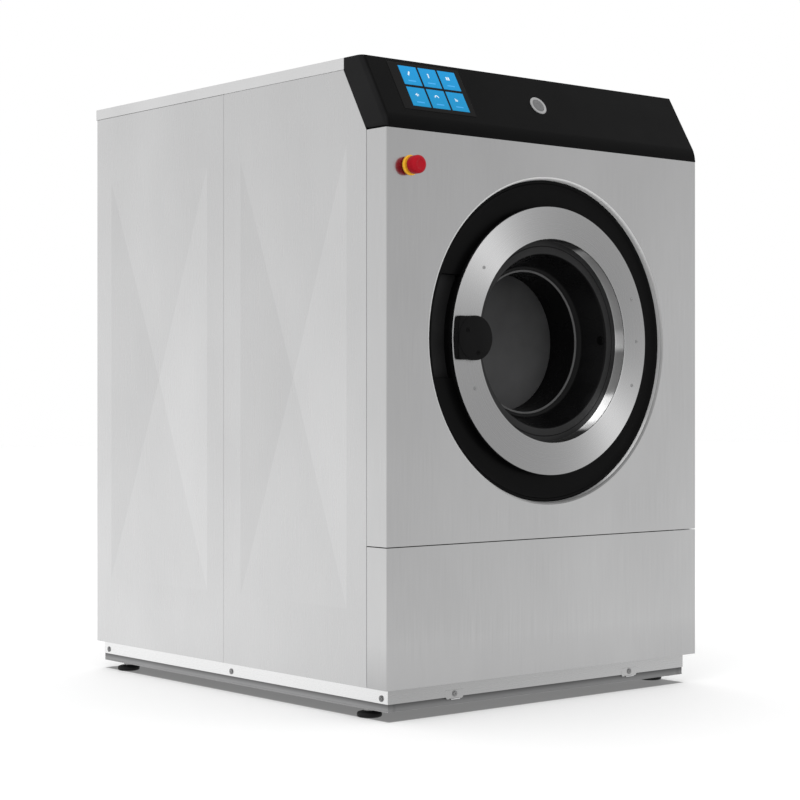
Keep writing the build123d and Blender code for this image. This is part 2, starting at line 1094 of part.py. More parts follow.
def tub_cradle():
    plates = []
    top = door_z - tub_radius / 2
    for y in cradle_places:
        half = cradle_thickness / 2
        wide = cradle_half_width
        plate = block(-wide, wide, y - half, y + half, cradle_bottom, top)
        plate -= rod_y(0, door_z, y - overrun, y + overrun, tub_radius + clearance)
        flange = block(
            -wide,
            wide,
            y - cradle_flange / 2,
            y + cradle_flange / 2,
            cradle_bottom,
            cradle_bottom + cradle_thickness,
        )
        plates.append(plate + flange)
    return group(plates)


def suspension_springs():
    # Rubber air springs between the base and the cradle
    return group(
        [
            rod_z(side * spring_x, y, floor_gap, cradle_bottom, spring_radius)
            for side in (-1, 1)
            for y in cradle_places
        ]
    )


def shock_absorbers():
    return both_sides(
        rod_z(damper_x, cradle_front_y, floor_gap, cradle_bottom, damper_radius)
    )


def counterweights():
    y_high = tub_front - tub_wall
    section = [
        (weight_inner_radius, y_high - weight_thickness),
        (weight_outer_radius, y_high - weight_thickness),
        (weight_outer_radius, y_high),
        (weight_inner_radius, y_high),
    ]
    return group([sector(section, middle, weight_half_angle) for middle in (90, -90)])


# Drum group

def drum_shell():
    # Basket with its back plate, open at the mouth
    inner = drum_radius - drum_wall
    back = spider_front - drum_wall
    return turned(
        [
            (drum_mouth_radius, drum_front),
            (drum_radius, drum_front),
            (drum_radius, spider_front),
            (0, spider_front),
            (0, back),
            (inner, back),
            (inner, drum_front + drum_wall),
            (drum_mouth_radius, drum_front + drum_wall),
        ]
    )


def drum_lifters():
    length = drum_length - 2 * lifter_end_gap
    seat = drum_radius - drum_wall - clearance
    section = Plane.XZ * outline(
        [
            (-lifter_base / 2, seat + overrun),
            (-lifter_base / 2, seat - overrun),
            (-lifter_top / 2, seat - lifter_height),
            (lifter_top / 2, seat - lifter_height),
            (lifter_base / 2, seat - overrun),
            (lifter_base / 2, seat + overrun),
        ]
    )
    bar = Pos(0, drum_front + drum_wall + lifter_end_gap + length, 0) * extrude(section, length)
    bar &= rod_y(0, 0, 0, cabinet_depth, seat)
    step = 360 / lifter_count
    return group(
        [Pos(0, 0, door_z) * Rot(0, number * step, 0) * bar for number in range(lifter_count)]
    )


def drum_spider():
    # Three arms on a hub, cast round the shaft
    front = spider_front
    hub = rod_y(0, door_z, front, front + spider_depth, spider_hub_radius)
    inner = spider_hub_radius / 2
    wide, narrow = spider_arm_width / 2, spider_tip_width / 2
    across = outline(
        [(-wide, inner), (wide, inner), (narrow, spider_arm_reach), (-narrow, spider_arm_reach)]
    )
    deep = front + spider_depth
    tip = front + spider_tip_depth
    along = outline([(front, inner), (deep, inner), (tip, spider_arm_reach), (front, spider_arm_reach)])
    arm = along_x(Plane.YZ * along, -wide, wide)
    arm &= Pos(0, deep, 0) * extrude(Plane.XZ * across, spider_depth)
    for number in range(lifter_count):
        hub += Pos(0, 0, door_z) * Rot(0, number * 360 / lifter_count, 0) * arm
    return hub + rod_y(0, door_z, front, pulley_end + pulley_gap, shaft_radius)


def drum_pulley():
    # Hollowed on its rear side, down to the web
    bore = shaft_radius + pin_play
    inner = pulley_radius - pulley_rim
    web = pulley_front + pulley_web
    return turned(
        [
            (bore, pulley_front),
            (pulley_radius, pulley_front),
            (pulley_radius, pulley_end),
            (inner, pulley_end),
            (inner, web),
            (bore, web),
        ]
    )


def motor_pulley():
    # Pulley with the shaft that it is keyed to
    start = tub_end - motor_shaft_depth
    return turned(
        [
            (0, start),
            (motor_shaft_radius, start),
            (motor_shaft_radius, pulley_front),
            (motor_pulley_radius, pulley_front),
            (motor_pulley_radius, pulley_end),
            (0, pulley_end),
        ],
        0,
        motor_z,
    )


def drive_belt():
    def loop(extra):
        upper = Pos(0, door_z) * Circle(pulley_radius + extra)
        lower = Pos(0, motor_z) * Circle(motor_pulley_radius + extra)
        return make_hull((upper + lower).edges())

    y_high = (pulley_front + pulley_end + belt_width) / 2
    outer = extrude(Plane.XZ * loop(clearance + belt_thickness), belt_width)
    inner = extrude(Plane.XZ * loop(clearance), belt_width)
    return Pos(0, y_high, 0) * (outer - inner)


def motor_body():
    start = cradle_rear_y + cradle_thickness / 2 + bracket_thickness
    end = start + motor_length
    shaft_room = motor_shaft_radius + pin_play
    body = turned(
        [
            (0, start),
            (motor_radius, start),
            (motor_radius, end),
            (shaft_room, end),
            (shaft_room, tub_end - motor_shaft_depth - clearance),
            (0, tub_end - motor_shaft_depth - clearance),
        ],
        0,
        motor_z,
    )
    middle = (start + end) / 2
    wide = bracket_half_width
    foot = cradle_bottom + cradle_thickness
    plate = start - bracket_thickness
    body += block(-wide, wide, plate, start, foot, motor_z + motor_radius)
    return body + block(
        motor_radius - motor_box_height,
        motor_radius + motor_box_height,
        middle - motor_box_length / 2,
        middle + motor_box_length / 2,
        motor_z - motor_box_width / 2,
        motor_z + motor_box_width / 2,
    )


# Water, drain and electrics

def drain_valve():
    half = drain_valve_size / 2
    body = block(
        -half, half, drain_valve_y - half, drain_valve_y + half, drain_z - half, drain_z + half
    )
    top = door_z - tub_radius - clearance
    body += rod_z(0, drain_valve_y, drain_z, top, drain_radius)
    return body - rod_z(0, drain_valve_y, drain_z, top + overrun, drain_radius - drain_wall)


def drain_pipe():
    # Pipe from the valve to the rear, ending in a spigot for a hose
    y_low, y_high = drain_valve_y + drain_valve_size / 2, cabinet_depth + drain_reach
    shoulder = cabinet_depth + drain_shoulder
    pipe = rod_y(0, drain_z, y_low, shoulder, drain_sleeve_radius)
    pipe += rod_y(0, drain_z, shoulder, y_high, drain_radius)
    return pipe - rod_y(0, drain_z, y_low - overrun, y_high + overrun, drain_radius - drain_wall)


def inlet_valve(x):
    half = valve_body / 2
    y_high = cabinet_depth - sheet
    valve = block(x - half, x + half, valve_front, y_high, valve_z - half, valve_z + half)
    valve += rod_y(x, valve_z, y_high, cabinet_depth + inlet_shoulder, inlet_neck_radius)
    valve += rod_y(x, valve_z, y_high, cabinet_depth + inlet_reach, inlet_radius)
    coil_back = valve_front + half
    valve += block(x - half / 2, x + half / 2, valve_front, coil_back, valve_z + half, valve_z + 2 * half)
    back = cabinet_depth + inlet_reach + overrun
    return valve - rod_y(x, valve_z, y_high - half, back, inlet_bore_radius)


def inlet_valves():
    # Two solenoid valves with threaded ends, on a common manifold
    half = valve_body / 2
    low, high = valve_z - manifold_half_height, valve_z + manifold_half_height
    manifold = block(cold_x - half, hot_x + half, manifold_front, valve_front, low, high)
    return group([inlet_valve(x) for x in valve_places] + [manifold])


def fill_hose():
    x = (cold_x + hot_x) / 2
    end_z = door_z + sqrt(tub_radius**2 - (abs(x) - hose_radius) ** 2) + clearance
    path = Polyline((x, manifold_front, valve_z), (x, hose_y, valve_z), (x, hose_y, end_z))
    start = Plane((x, manifold_front, valve_z), z_dir=(0, -1, 0))
    face = start * (Circle(hose_radius) - Circle(hose_radius - hose_wall))
    return sweep(face, path, transition=Transition.RIGHT)


def control_box():
    x_high = post_x - post_size
    y_high = cabinet_depth - sheet - post_size
    z_low = console_bottom - post_size
    return block(
        x_high - control_box_width,
        x_high,
        y_high - control_box_depth,
        y_high,
        z_low,
        z_low + control_box_height,
    )


def cable_gland():
    outer = cabinet_depth + gland_hex_height
    gland = rod_y(gland_x, gland_z, cabinet_depth - gland_reach, cabinet_depth, gland_radius)
    head = Pos(gland_x, outer, gland_z) * Rot(90, 0, 0) * hexagon(gland_hex_radius, gland_hex_height)
    back = outer + gland_reach
    bore = rod_y(gland_x, gland_z, cabinet_depth - gland_reach - overrun, back, gland_bore_radius)
    return gland + head - bore


os.makedirs("parts", exist_ok=True)

front_side = front_side_panel()
rear_side = rear_side_panel()
save("side_panel_right_front", front_side)
save("side_panel_right_rear", rear_side)
save("side_panel_left_front", mirror(front_side, about=Plane.YZ))
save("side_panel_left_rear", mirror(rear_side, about=Plane.YZ))
save("front_panel", front_panel())
save("service_panel", service_panel())
save("rear_panel", rear_panel())
save("rear_connection_panel", rear_connection_panel())
save("rear_drain_panel", rear_drain_panel())
save("rear_access_cover", rear_access_cover())
save("top_cover", top_cover())
save("base_frame", base_frame())
save("base_skirt", base_skirt())
save("service_panel_clips", service_panel_clips())
save("levelling_feet", levelling_feet())
save("inner_frame", inner_frame())
save("console_housing", console_housing())
save("touch_screen", touch_screen())
save("start_button_bezel", start_button_bezel())
save("start_button", start_button())
save("emergency_stop_collar", emergency_stop_collar())
save("emergency_stop_head", emergency_stop_head())
save("door_surround", door_surround())
save("door_stiffener", door_stiffener())
save("door_ring", door_ring())
save("door_frame", door_frame())
save("door_bowl", door_bowl())
save("hinge_arm", hinge_arm())
save("hinge_bracket", hinge_bracket())
save("hinge_pin", hinge_pin())
save("door_handle", door_handle())
save("latch_hook", latch_hook())
save("door_lock_body", door_lock_body())
save("lock_bolt", lock_bolt())
save("door_gasket", door_gasket())
save("tub_shell", tub_shell())
save("tub_back", tub_back())
save("heating_elements", heating_elements())
save("bearing_housing", bearing_housing())
save("shaft_bearings", shaft_bearings())
save("tub_cradle", tub_cradle())
save("suspension_springs", suspension_springs())
save("shock_absorbers", shock_absorbers())
save("counterweights", counterweights())
save("drum_shell", drum_shell())
save("drum_lifters", drum_lifters())
save("drum_spider", drum_spider())
save("drum_pulley", drum_pulley())
save("motor_pulley", motor_pulley())
save("drive_belt", drive_belt())
save("motor_body", motor_body())
save("drain_valve", drain_valve())
save("drain_pipe", drain_pipe())
save("inlet_valves", inlet_valves())
save("fill_hose", fill_hose())
save("control_box", control_box())
save("cable_gland", cable_gland())
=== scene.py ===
import bpy
import json
import math
from mathutils import Matrix, Vector

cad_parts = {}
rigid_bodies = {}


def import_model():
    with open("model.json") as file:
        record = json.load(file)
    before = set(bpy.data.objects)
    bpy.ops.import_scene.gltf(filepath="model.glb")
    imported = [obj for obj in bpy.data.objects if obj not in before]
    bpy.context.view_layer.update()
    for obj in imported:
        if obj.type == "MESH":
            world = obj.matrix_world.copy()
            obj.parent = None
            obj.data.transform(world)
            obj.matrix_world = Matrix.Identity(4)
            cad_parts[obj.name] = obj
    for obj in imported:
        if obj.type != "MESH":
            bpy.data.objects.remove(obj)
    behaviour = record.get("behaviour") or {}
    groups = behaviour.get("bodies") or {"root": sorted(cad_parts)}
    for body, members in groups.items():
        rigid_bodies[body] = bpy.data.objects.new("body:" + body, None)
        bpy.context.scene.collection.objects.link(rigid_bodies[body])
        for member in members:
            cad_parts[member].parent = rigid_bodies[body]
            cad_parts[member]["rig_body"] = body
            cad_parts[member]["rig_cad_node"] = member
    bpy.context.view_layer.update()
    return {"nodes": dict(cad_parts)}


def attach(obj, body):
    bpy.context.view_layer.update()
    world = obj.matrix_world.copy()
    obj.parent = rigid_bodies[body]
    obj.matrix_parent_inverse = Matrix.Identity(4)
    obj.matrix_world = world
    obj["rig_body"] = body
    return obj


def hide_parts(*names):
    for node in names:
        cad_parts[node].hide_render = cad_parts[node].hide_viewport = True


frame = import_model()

middleY = 536.0  # the cabinet's front stands this far in front of the origin, in millimetres
doorZ = 747.5
doorAxis = (0, 0, doorZ / 1000)
slopeAngle = math.atan2(74.5, 129.0)  # lean of the console's front


def spot(x, y, z):
    return Vector((x / 1000, (y - middleY) / 1000, z / 1000))


# materials: every finish is a small node tree on Object coordinates

def feed(node, inputs):
    # each input takes a constant or another node's output
    for key, value in inputs.items():
        if isinstance(value, bpy.types.NodeSocket):
            node.id_data.links.new(value, node.inputs[key])
        else:
            node.inputs[key].default_value = value


def addNode(tree, kind, inputs={}, output=0, **settings):
    # the new node's first output is given back, or the one asked for
    node = tree.nodes.new("ShaderNode" + kind)
    for key, value in settings.items():
        setattr(node, key, value)
    feed(node, inputs)
    return node.outputs[output]


def newFinish(name, color, metallic, roughness, specular=0.5):
    mat = bpy.data.materials.new(name)
    mat.use_nodes = True
    tree = mat.node_tree
    shader = tree.nodes["Principled BSDF"]
    feed(shader, {"Base Color": (*color, 1), "Metallic": metallic, "Roughness": roughness,
                  "Specular IOR Level": specular})
    return mat, tree, shader


def coordinates(tree, kind="Object"):
    return addNode(tree, "TexCoord", output=kind)


def axesOf(tree, vector):
    return addNode(tree, "SeparateXYZ", {"Vector": vector}).node.outputs


def mapped(tree, vector, scale=(1, 1, 1), centre=(0, 0, 0)):
    shift = tuple(-c for c in centre)
    return addNode(tree, "Mapping", {"Vector": vector, "Location": shift, "Scale": scale})


def noise(tree, point, scale, detail):
    return addNode(tree, "TexNoise", {"Vector": point, "Scale": scale, "Detail": detail})


def objectNoise(tree, scale, detail=3.0, stretch=(1, 1, 1)):
    return noise(tree, mapped(tree, coordinates(tree), stretch), scale, detail)


def spread(tree, value, low, high, fromLow=0.3, fromHigh=0.7):
    limits = {"From Min": fromLow, "From Max": fromHigh, "To Min": low, "To Max": high}
    return addNode(tree, "MapRange", {"Value": value, **limits})


def tint(tree, value, dark, light):
    sides = {"Factor": value, "A": (*dark, 1), "B": (*light, 1)}
    return addNode(tree, "Mix", sides, "Result", data_type="RGBA")


def mathNode(tree, operation, *values):
    return addNode(tree, "Math", dict(enumerate(values)), operation=operation)


def angleOf(tree, vector):
    # 0 towards x, and a quarter turn straight up
    axes = axesOf(tree, vector)
    return mathNode(tree, "ARCTAN2", axes["Z"], axes["X"])


def mottled(tree, color, value, low, high):
    # darker or lighter with the value
    dark, light = [tuple(min(1.0, c * factor) for c in color) for factor in (low, high)]
    return tint(tree, spread(tree, value, 0, 1), dark, light)


def multiplied(tree, color, factor):
    return addNode(tree, "VectorMath", {0: color, "Scale": factor}, operation="SCALE")


def paintedLightSlope(tree, color, low, high, axis, start, end):
    # painted light and shade: the colour grows lighter or darker from one end to the other
    along = axesOf(tree, coordinates(tree))[axis]
    return multiplied(tree, color, spread(tree, along, low, high, start, end))


def paintedSideLight(tree, color, front, side):
    # painted light: the faces towards x take the second factor and the others the first, so one material
    # turns lighter or darker round a corner
    turned = mathNode(tree, "ABSOLUTE", axesOf(tree, coordinates(tree, "Normal"))["X"])
    return multiplied(tree, color, spread(tree, turned, front, side))


def capped(tree, color, most=0.95):
    # no sheet gives back more light than it gets
    return addNode(tree, "VectorMath", {0: color, 1: (most, most, most)}, operation="MINIMUM")


def paintedFacetShade(tree, color, strength, bend):
    # painted shade: pressed facets turn a little away from each other, and their colour is made lighter or
    # darker with the turn
    turned = axesOf(tree, coordinates(tree, "Normal"))["Y"]
    return multiplied(tree, color, spread(tree, turned, 1 + strength, 1 - strength, -bend, bend))


def dress(tree, shader, color, roughness, height, strength, distance=0.0002):
    bump = addNode(tree, "Bump", {"Height": height, "Strength": strength, "Distance": distance})
    feed(shader, {"Base Color": color, "Roughness": roughness, "Normal": bump})


def brushedSteel(name, color, roughness, grain, stretch=(420, 420, 9), cloud=0.05, paintedLightSlopes=(), facets=(),
                 corner=()):
    # fine grain, along z unless stretched otherwise, and broad faint clouds as on rolled sheet
    mat, tree, shader = newFinish(name, color, 1.0, roughness)
    fine = objectNoise(tree, 1.0, 2.0, stretch)
    broad = objectNoise(tree, 5.0, 3.0, (1, 1, 0.6))
    depth = grain + cloud
    clouds = mathNode(tree, "MULTIPLY", broad, cloud / depth)
    both = mathNode(tree, "MULTIPLY_ADD", fine, grain / depth, clouds)
    shown = mottled(tree, color, both, 1 - depth, 1 + depth)
    for slide in paintedLightSlopes:
        shown = paintedLightSlope(tree, shown, *slide)
    if facets:
        shown = paintedFacetShade(tree, shown, *facets)
    if corner:
        shown = capped(tree, paintedSideLight(tree, shown, *corner))
    dress(tree, shader, shown, spread(tree, fine, roughness - 0.05, roughness + 0.07), fine, 0.06)
    return mat


def turnedSteel(name, color, roughness, centre, anisotropy=0.75, rings=900.0, paintedSheen=0.0, paintedSheenTurn=0.0):
    # brushed round the axis: grain follows the distance from it
    mat, tree, shader = newFinish(name, color, 1.0, roughness)
    flat = mapped(tree, coordinates(tree), (1, 0, 1), centre)
    away = addNode(tree, "VectorMath", {0: flat}, "Value", operation="LENGTH")
    point = addNode(tree, "CombineXYZ", {"X": away})
    fine = noise(tree, point, rings, 2.0)
    shown = mottled(tree, color, fine, 0.94, 1.06)
    if paintedSheen:
        # painted highlight: two narrow bright sectors over from each other, where turned metal shows its
        # sheen
        angle = mathNode(tree, "ADD", angleOf(tree, flat), -math.radians(paintedSheenTurn))
        wave = mathNode(tree, "COSINE", mathNode(tree, "MULTIPLY", angle, 2.0))
        slope = mathNode(tree, "ADD", mathNode(tree, "MULTIPLY", wave, -3.8), 4.8)
        near = mathNode(tree, "POWER", slope, -1.0)
        shown = multiplied(tree, shown, spread(tree, near, 1.0, 1 + paintedSheen, 0.116, 1.0))
    dress(tree, shader, shown, spread(tree, fine, roughness - 0.04, roughness + 0.06), fine, 0.04)
    tangent = addNode(tree, "Tangent", direction_type="RADIAL", axis="Y")
    feed(shader, {"Anisotropic": anisotropy, "Tangent": tangent})
    return mat


def paintedReflectionSteel(name, stops):
    # polished walls round the door's axis, with painted reflections: their colour follows the stops round the
    # angle
    mat, tree, shader = newFinish(name, (0.5, 0.5, 0.5), 0.15, 0.3)
    angle = angleOf(tree, mapped(tree, coordinates(tree), centre=doorAxis))
    mirrored = addNode(tree, "ValToRGB", {"Fac": spread(tree, angle, 0, 1, -math.pi, math.pi)})
    ramp = mirrored.node.color_ramp
    ramp.interpolation = "EASE"
    points = ramp.elements
    while len(points) < len(stops):
        points.new(0.5)
    for point, (degrees, value) in zip(points, stops):
        point.position = (degrees + 180) / 360
        point.color = (value, value, value, 1)
    fine = objectNoise(tree, 260.0, 2.0, (1, 4, 1))
    shown = multiplied(tree, mirrored, spread(tree, fine, 0.93, 1.07))
    dress(tree, shader, shown, 0.3, fine, 0.03)
    return mat


def plastic(name, color, roughness, texture, specular, scale=900.0, paintedLightSlopes=(), corner=()):
    mat, tree, shader = newFinish(name, color, 0.0, roughness, specular)
    fine = objectNoise(tree, scale, 2.0)
    broad = objectNoise(tree, 14.0)
    shown = mottled(tree, color, broad, 0.88, 1.14)
    for slide in paintedLightSlopes:
        shown = paintedLightSlope(tree, shown, *slide)
    if corner:
        shown = paintedSideLight(tree, shown, *corner)
    dress(tree, shader, shown, spread(tree, broad, roughness - 0.05, roughness + 0.06), fine, texture)
    return mat


def castMetal(name, color, roughness, metallic):
    mat, tree, shader = newFinish(name, color, metallic, roughness)
    grit = objectNoise(tree, 420.0, 4.0)
    shown = mottled(tree, color, objectNoise(tree, 18.0), 0.75, 1.2)
    dress(tree, shader, shown, spread(tree, grit, roughness - 0.1, roughness + 0.12), grit, 0.35, 0.0005)
    return mat


def paint(name, color, roughness=0.4):
    mat, tree, shader = newFinish(name, color, 0.0, roughness)
    peel = objectNoise(tree, 260.0, 2.0)
    shown = mottled(tree, color, objectNoise(tree, 9.0), 0.9, 1.08)
    feed(shader, {"Coat Weight": 0.15})
    dress(tree, shader, shown, spread(tree, peel, roughness - 0.04, roughness + 0.06), peel, 0.08, 0.0003)
    return mat


def holedSteel(name, color, pitch=0.014, holeShare=0.24):
    # drum sheet: rows of small round holes, drawn as dark pits
    mat, tree, shader = newFinish(name, color, 1.0, 0.3)
    uv = addNode(tree, "UVMap", uv_map="drumMap")
    grid = mapped(tree, uv, (1 / pitch, 1 / pitch, 1))
    cells = addNode(tree, "TexVoronoi", {"Vector": grid, "Randomness": 0.0, "Scale": 1.0})
    edge = spread(tree, cells, 0, 1, holeShare - 0.05, holeShare + 0.05)
    shown = tint(tree, edge, (0.01, 0.01, 0.011), color)
    dress(tree, shader, shown, spread(tree, edge, 0.9, 0.3, 0, 1), edge, 0.7, 0.001)
    return mat


def litTile(name, top, bottom, glow):
    # a lit field of the display, a little lighter towards its top
    mat, tree, shader = newFinish(name, top, 0.0, 0.12, 0.1)
    color = tint(tree, spread(tree, axesOf(tree, coordinates(tree))["Z"], 0, 1, 1.2, 1.29), bottom, top)
    feed(shader, {"Base Color": color, "Emission Color": color, "Emission Strength": glow})
    return mat


# painted reflections and highlights, as (degrees, brightness) round the door's axis: 0 is at the right and 90
# at the top
rimStops = ((-175, 0.55), (-130, 0.5), (-112, 0.38), (-95, 0.22), (-75, 0.17), (-45, 0.22), (-10, 0.29),
            (20, 0.42), (45, 0.6), (75, 0.68), (120, 0.62))
lineStops = ((-140, 0.5), (-105, 0.4), (-80, 0.3), (-66, 0.5), (-56, 1.0), (-34, 1.0), (-24, 0.7), (0, 0.58),
             (30, 0.62), (80, 0.8))
throatStops = ((-90, 0.015), (-64, 0.03), (-58, 0.9), (-44, 1.0), (-35, 0.75), (-30, 0.3), (-6, 0.24),
               (-2, 0.7), (4, 0.6), (9, 0.36), (56, 0.3), (63, 0.4), (69, 0.03), (88, 0.015))

finishes = {
    # painted light: the side sheets grow lighter towards the bottom and the rear, and their pressed facets
    # are shaded apart
    "side": brushedSteel("sideSteel", (0.615, 0.615, 0.617), 0.3, 0.02, cloud=0.03, facets=(-0.052, 0.02),
                         paintedLightSlopes=((1.1, 0.9, "Z", 0.05, 1.25), (0.94, 1.06, "Y", -0.55, 0.55))),
    # painted light: the front sheets grow lighter towards the bottom and towards +x, with painted shade at
    # their very bottom
    "front": brushedSteel("frontSteel", (0.58, 0.58, 0.582), 0.15, 0.022, cloud=0.03,
                          paintedLightSlopes=((1.13, 0.9, "Z", 0.1, 1.15), (0.935, 1.06, "X", -0.44, 0.44),
                                 (0.84, 1.0, "Z", 0.05, 0.15))),
    "top": brushedSteel("topSteel", (0.66, 0.66, 0.662), 0.32, 0.02, (9, 420, 420), 0.03),
    # painted light: the strips' faces towards the front are about half as light as their sides, and all grow
    # lighter towards +x
    "skirt": brushedSteel("skirtSteel", (0.91, 0.91, 0.912), 0.28, 0.006, (9, 9, 1100), 0.01,
                          paintedLightSlopes=((1.0, 1.36, "X", -0.38, 0.42),), corner=(0.49, 1.0)),
    # painted highlight: the light strips' faces towards the front are twice as light
    "edge": brushedSteel("highlightSteel", (0.36, 0.36, 0.362), 0.35, 0.02, (9, 9, 420), 0.04, corner=(2.0, 1.0)),
    "rim": paintedReflectionSteel("rimSteel", rimStops),
    "rimLine": paintedReflectionSteel("rimLineSteel", lineStops),
    # painted shade: the rails darken towards their top under the strips, and their faces towards the front
    # are darker
    "rail": brushedSteel("railSteel", (0.3, 0.3, 0.303), 0.42, 0.02, (9, 9, 420), 0.04,
                         paintedLightSlopes=((1.2, 0.42, "Z", 0.023, 0.034),), corner=(0.75, 1.0)),
    "rear": brushedSteel("rearSteel", (0.5, 0.5, 0.502), 0.34, 0.03, cloud=0.04),
    "ring": turnedSteel("ringSteel", (0.38, 0.38, 0.382), 0.24, doorAxis, paintedSheen=1.3, paintedSheenTurn=136),
    "throat": paintedReflectionSteel("paintedReflectionSteel", throatStops),
    "screw": castMetal("screwSteel", (0.3, 0.3, 0.302), 0.3, 1.0),
    "ringScrew": castMetal("ringScrewSteel", (0.4, 0.4, 0.402), 0.25, 1.0),
    "pin": turnedSteel("pinSteel", (0.45, 0.45, 0.452), 0.22, (0, 0, 0), 0.4, 500.0),
    # painted light: the console's ends, turned towards x, are far lighter than its front
    "console": plastic("consoleBlack", (0.0026, 0.0026, 0.0027), 0.4, 0.08, 0.05, corner=(1.0, 4.5)),
    "screen": plastic("screenGlass", (0.0032, 0.003, 0.003), 0.12, 0.01, 0.09, 300.0),
    "tile": litTile("tileBlue", (0.009, 0.238, 0.52), (0.007, 0.212, 0.425), 0.3),
    "icon": litTile("iconWhite", (0.62, 0.74, 0.8), (0.55, 0.68, 0.78), 0.2),
    "caption": litTile("captionPale", (0.06, 0.34, 0.68), (0.05, 0.31, 0.64), 0.3),
    "bezel": plastic("bezelGrey", (0.36, 0.36, 0.362), 0.4, 0.08, 0.25),
    "button": plastic("buttonGrey", (0.16, 0.16, 0.163), 0.38, 0.08, 0.25),
    "yellow": plastic("stopYellow", (0.95, 0.48, 0.03), 0.35, 0.06, 0.2),
    "red": plastic("stopRed", (0.39, 0.004, 0.013), 0.32, 0.05, 0.12),
    "surround": plastic("surroundBlack", (0.0028, 0.0028, 0.0029), 0.34, 0.1, 0.06),
    # painted light: the liner's lighter black stands in for light in the grip pocket
    "liner": plastic("linerLitBlack", (0.013, 0.013, 0.0133), 0.5, 0.15, 0.2),
    "handle": plastic("handleBlack", (0.0036, 0.0036, 0.0037), 0.46, 0.15, 0.08),
    "hinge": plastic("hingeBlack", (0.004, 0.004, 0.0041), 0.5, 0.3, 0.06, 420.0),
    "bowl": plastic("bowlBlack", (0.004, 0.004, 0.0042), 0.26, 0.03, 0.11),
    # painted light: the flange, the step's bead and the end are lighter copies of the bowl's dark plastic,
    # the bead as a painted highlight line and the end darker towards its top
    "bowlFlange": plastic("bowlFlangeLit", (0.022, 0.022, 0.0225), 0.34, 0.05, 0.16),
    "bowlBead": plastic("bowlBeadHighlight", (0.09, 0.09, 0.091), 0.35, 0.03, 0.3),
    "bowlEnd": plastic("bowlEndLit", (0.058, 0.058, 0.059), 0.46, 0.04, 0.16,
                       paintedLightSlopes=((1.3, 0.7, "Z", 0.6, 0.89),)),
    "rubber": plastic("rubberBlack", (0.008, 0.008, 0.0082), 0.62, 0.25, 0.2, 500.0),
    "inner": brushedSteel("innerSteel", (0.5, 0.5, 0.502), 0.32, 0.05, (60, 420, 60)),
    "drum": holedSteel("drumSteel", (0.55, 0.55, 0.552)),
    "iron": castMetal("castIron", (0.1, 0.102, 0.106), 0.6, 0.6),
    "alloy": castMetal("castAlloy", (0.45, 0.455, 0.46), 0.42, 0.95),
    "basePaint": paint("basePaint", (0.16, 0.163, 0.168)),
    "motorPaint": paint("motorPaint", (0.035, 0.05, 0.075), 0.35),
    "pipe": plastic("pipeGrey", (0.12, 0.122, 0.126), 0.5, 0.15, 0.3),
    "insidePlastic": plastic("insideBlack", (0.02, 0.02, 0.021), 0.5, 0.15, 0.3),
    "white": plastic("valveWhite", (0.62, 0.63, 0.62), 0.45, 0.1, 0.3),
}
print("materials ready")


# modelling tools, as by hand

def clearSelection():
    if bpy.context.object and bpy.context.object.mode != "OBJECT":
        bpy.ops.object.mode_set(mode="OBJECT")
    bpy.ops.object.select_all(action="DESELECT")


def pick(*pieces):
    clearSelection()
    for piece in pieces:
        piece.select_set(True)
    bpy.context.view_layer.objects.active = pieces[0]


def editAll(piece):
    pick(piece)
    bpy.ops.object.mode_set(mode="EDIT")
    bpy.ops.mesh.select_all(action="SELECT")


def leaveEdit():
    bpy.ops.object.mode_set(mode="OBJECT")


def settle(piece):
    # place goes into the mesh, and the object back to the origin
    pick(piece)
    bpy.ops.object.transform_apply(location=True, rotation=True, scale=True)
    return piece


def modify(piece, kind, **settings):
    pick(piece)
    mod = piece.modifiers.new(kind.lower(), kind)
    for key, value in settings.items():
        setattr(mod, key, value)
    bpy.ops.object.modifier_apply(modifier=mod.name)
    return piece


def smoothTurned(piece, angle=40):
    pick(piece)
    bpy.ops.object.shade_smooth_by_angle(angle=math.radians(angle))
    return piece


def levelNormals(piece):
    # smooth over the soft edges, while the large faces keep their own normals
    return modify(smoothTurned(piece, 32), "WEIGHTED_NORMAL", mode="FACE_AREA", weight=100, keep_sharp=True)


def soften(piece, width, segments=3, angle=30):
    modify(piece, "BEVEL", width=width / 1000, segments=segments, limit_method="ANGLE",
           angle_limit=math.radians(angle), use_clamp_overlap=True)
    return levelNormals(piece)


def pickEdges(piece, lies):
    # into edit mode with the edges whose ends both lie in the given place
    editAll(piece)
    bpy.ops.mesh.select_all(action="DESELECT")
    leaveEdit()
    points = piece.data.vertices
    for edge in piece.data.edges:
        edge.select = all(lies(points[i].co) for i in edge.vertices)
    bpy.ops.object.mode_set(mode="EDIT")
    bpy.ops.mesh.select_mode(type="EDGE")


def bendEdges(piece, lies, width, segments):
    pickEdges(piece, lies)
    bpy.ops.mesh.bevel(offset=width / 1000, segments=segments, affect="EDGES")
    bpy.ops.mesh.select_mode(type="VERT")
    leaveEdit()


def carve(piece, *cutters, operation="DIFFERENCE"):
    for cutter in cutters:
        modify(piece, "BOOLEAN", object=cutter, operation=operation, solver="EXACT")
        bpy.data.objects.remove(cutter)
    return piece


def cutAway(piece, point, normal):
    editAll(piece)
    bpy.ops.mesh.bisect(plane_co=point, plane_no=Vector(normal).normalized(), use_fill=True, clear_outer=True)
    leaveEdit()


def place(piece, name, finish, slotName, *replaced, body="cabinet"):
    settle(piece)
    piece.name = name
    piece.data.name = name
    piece.data.materials.clear()
    piece.data.materials.append(finishes[finish])
    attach(piece, body)
    if replaced:
        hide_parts(*replaced)


def together(pieces):
    pick(*pieces)
    bpy.ops.object.join()
    return bpy.context.object


def placeAll(pieces, *rest, **where):
    place(together(pieces), *rest, **where)


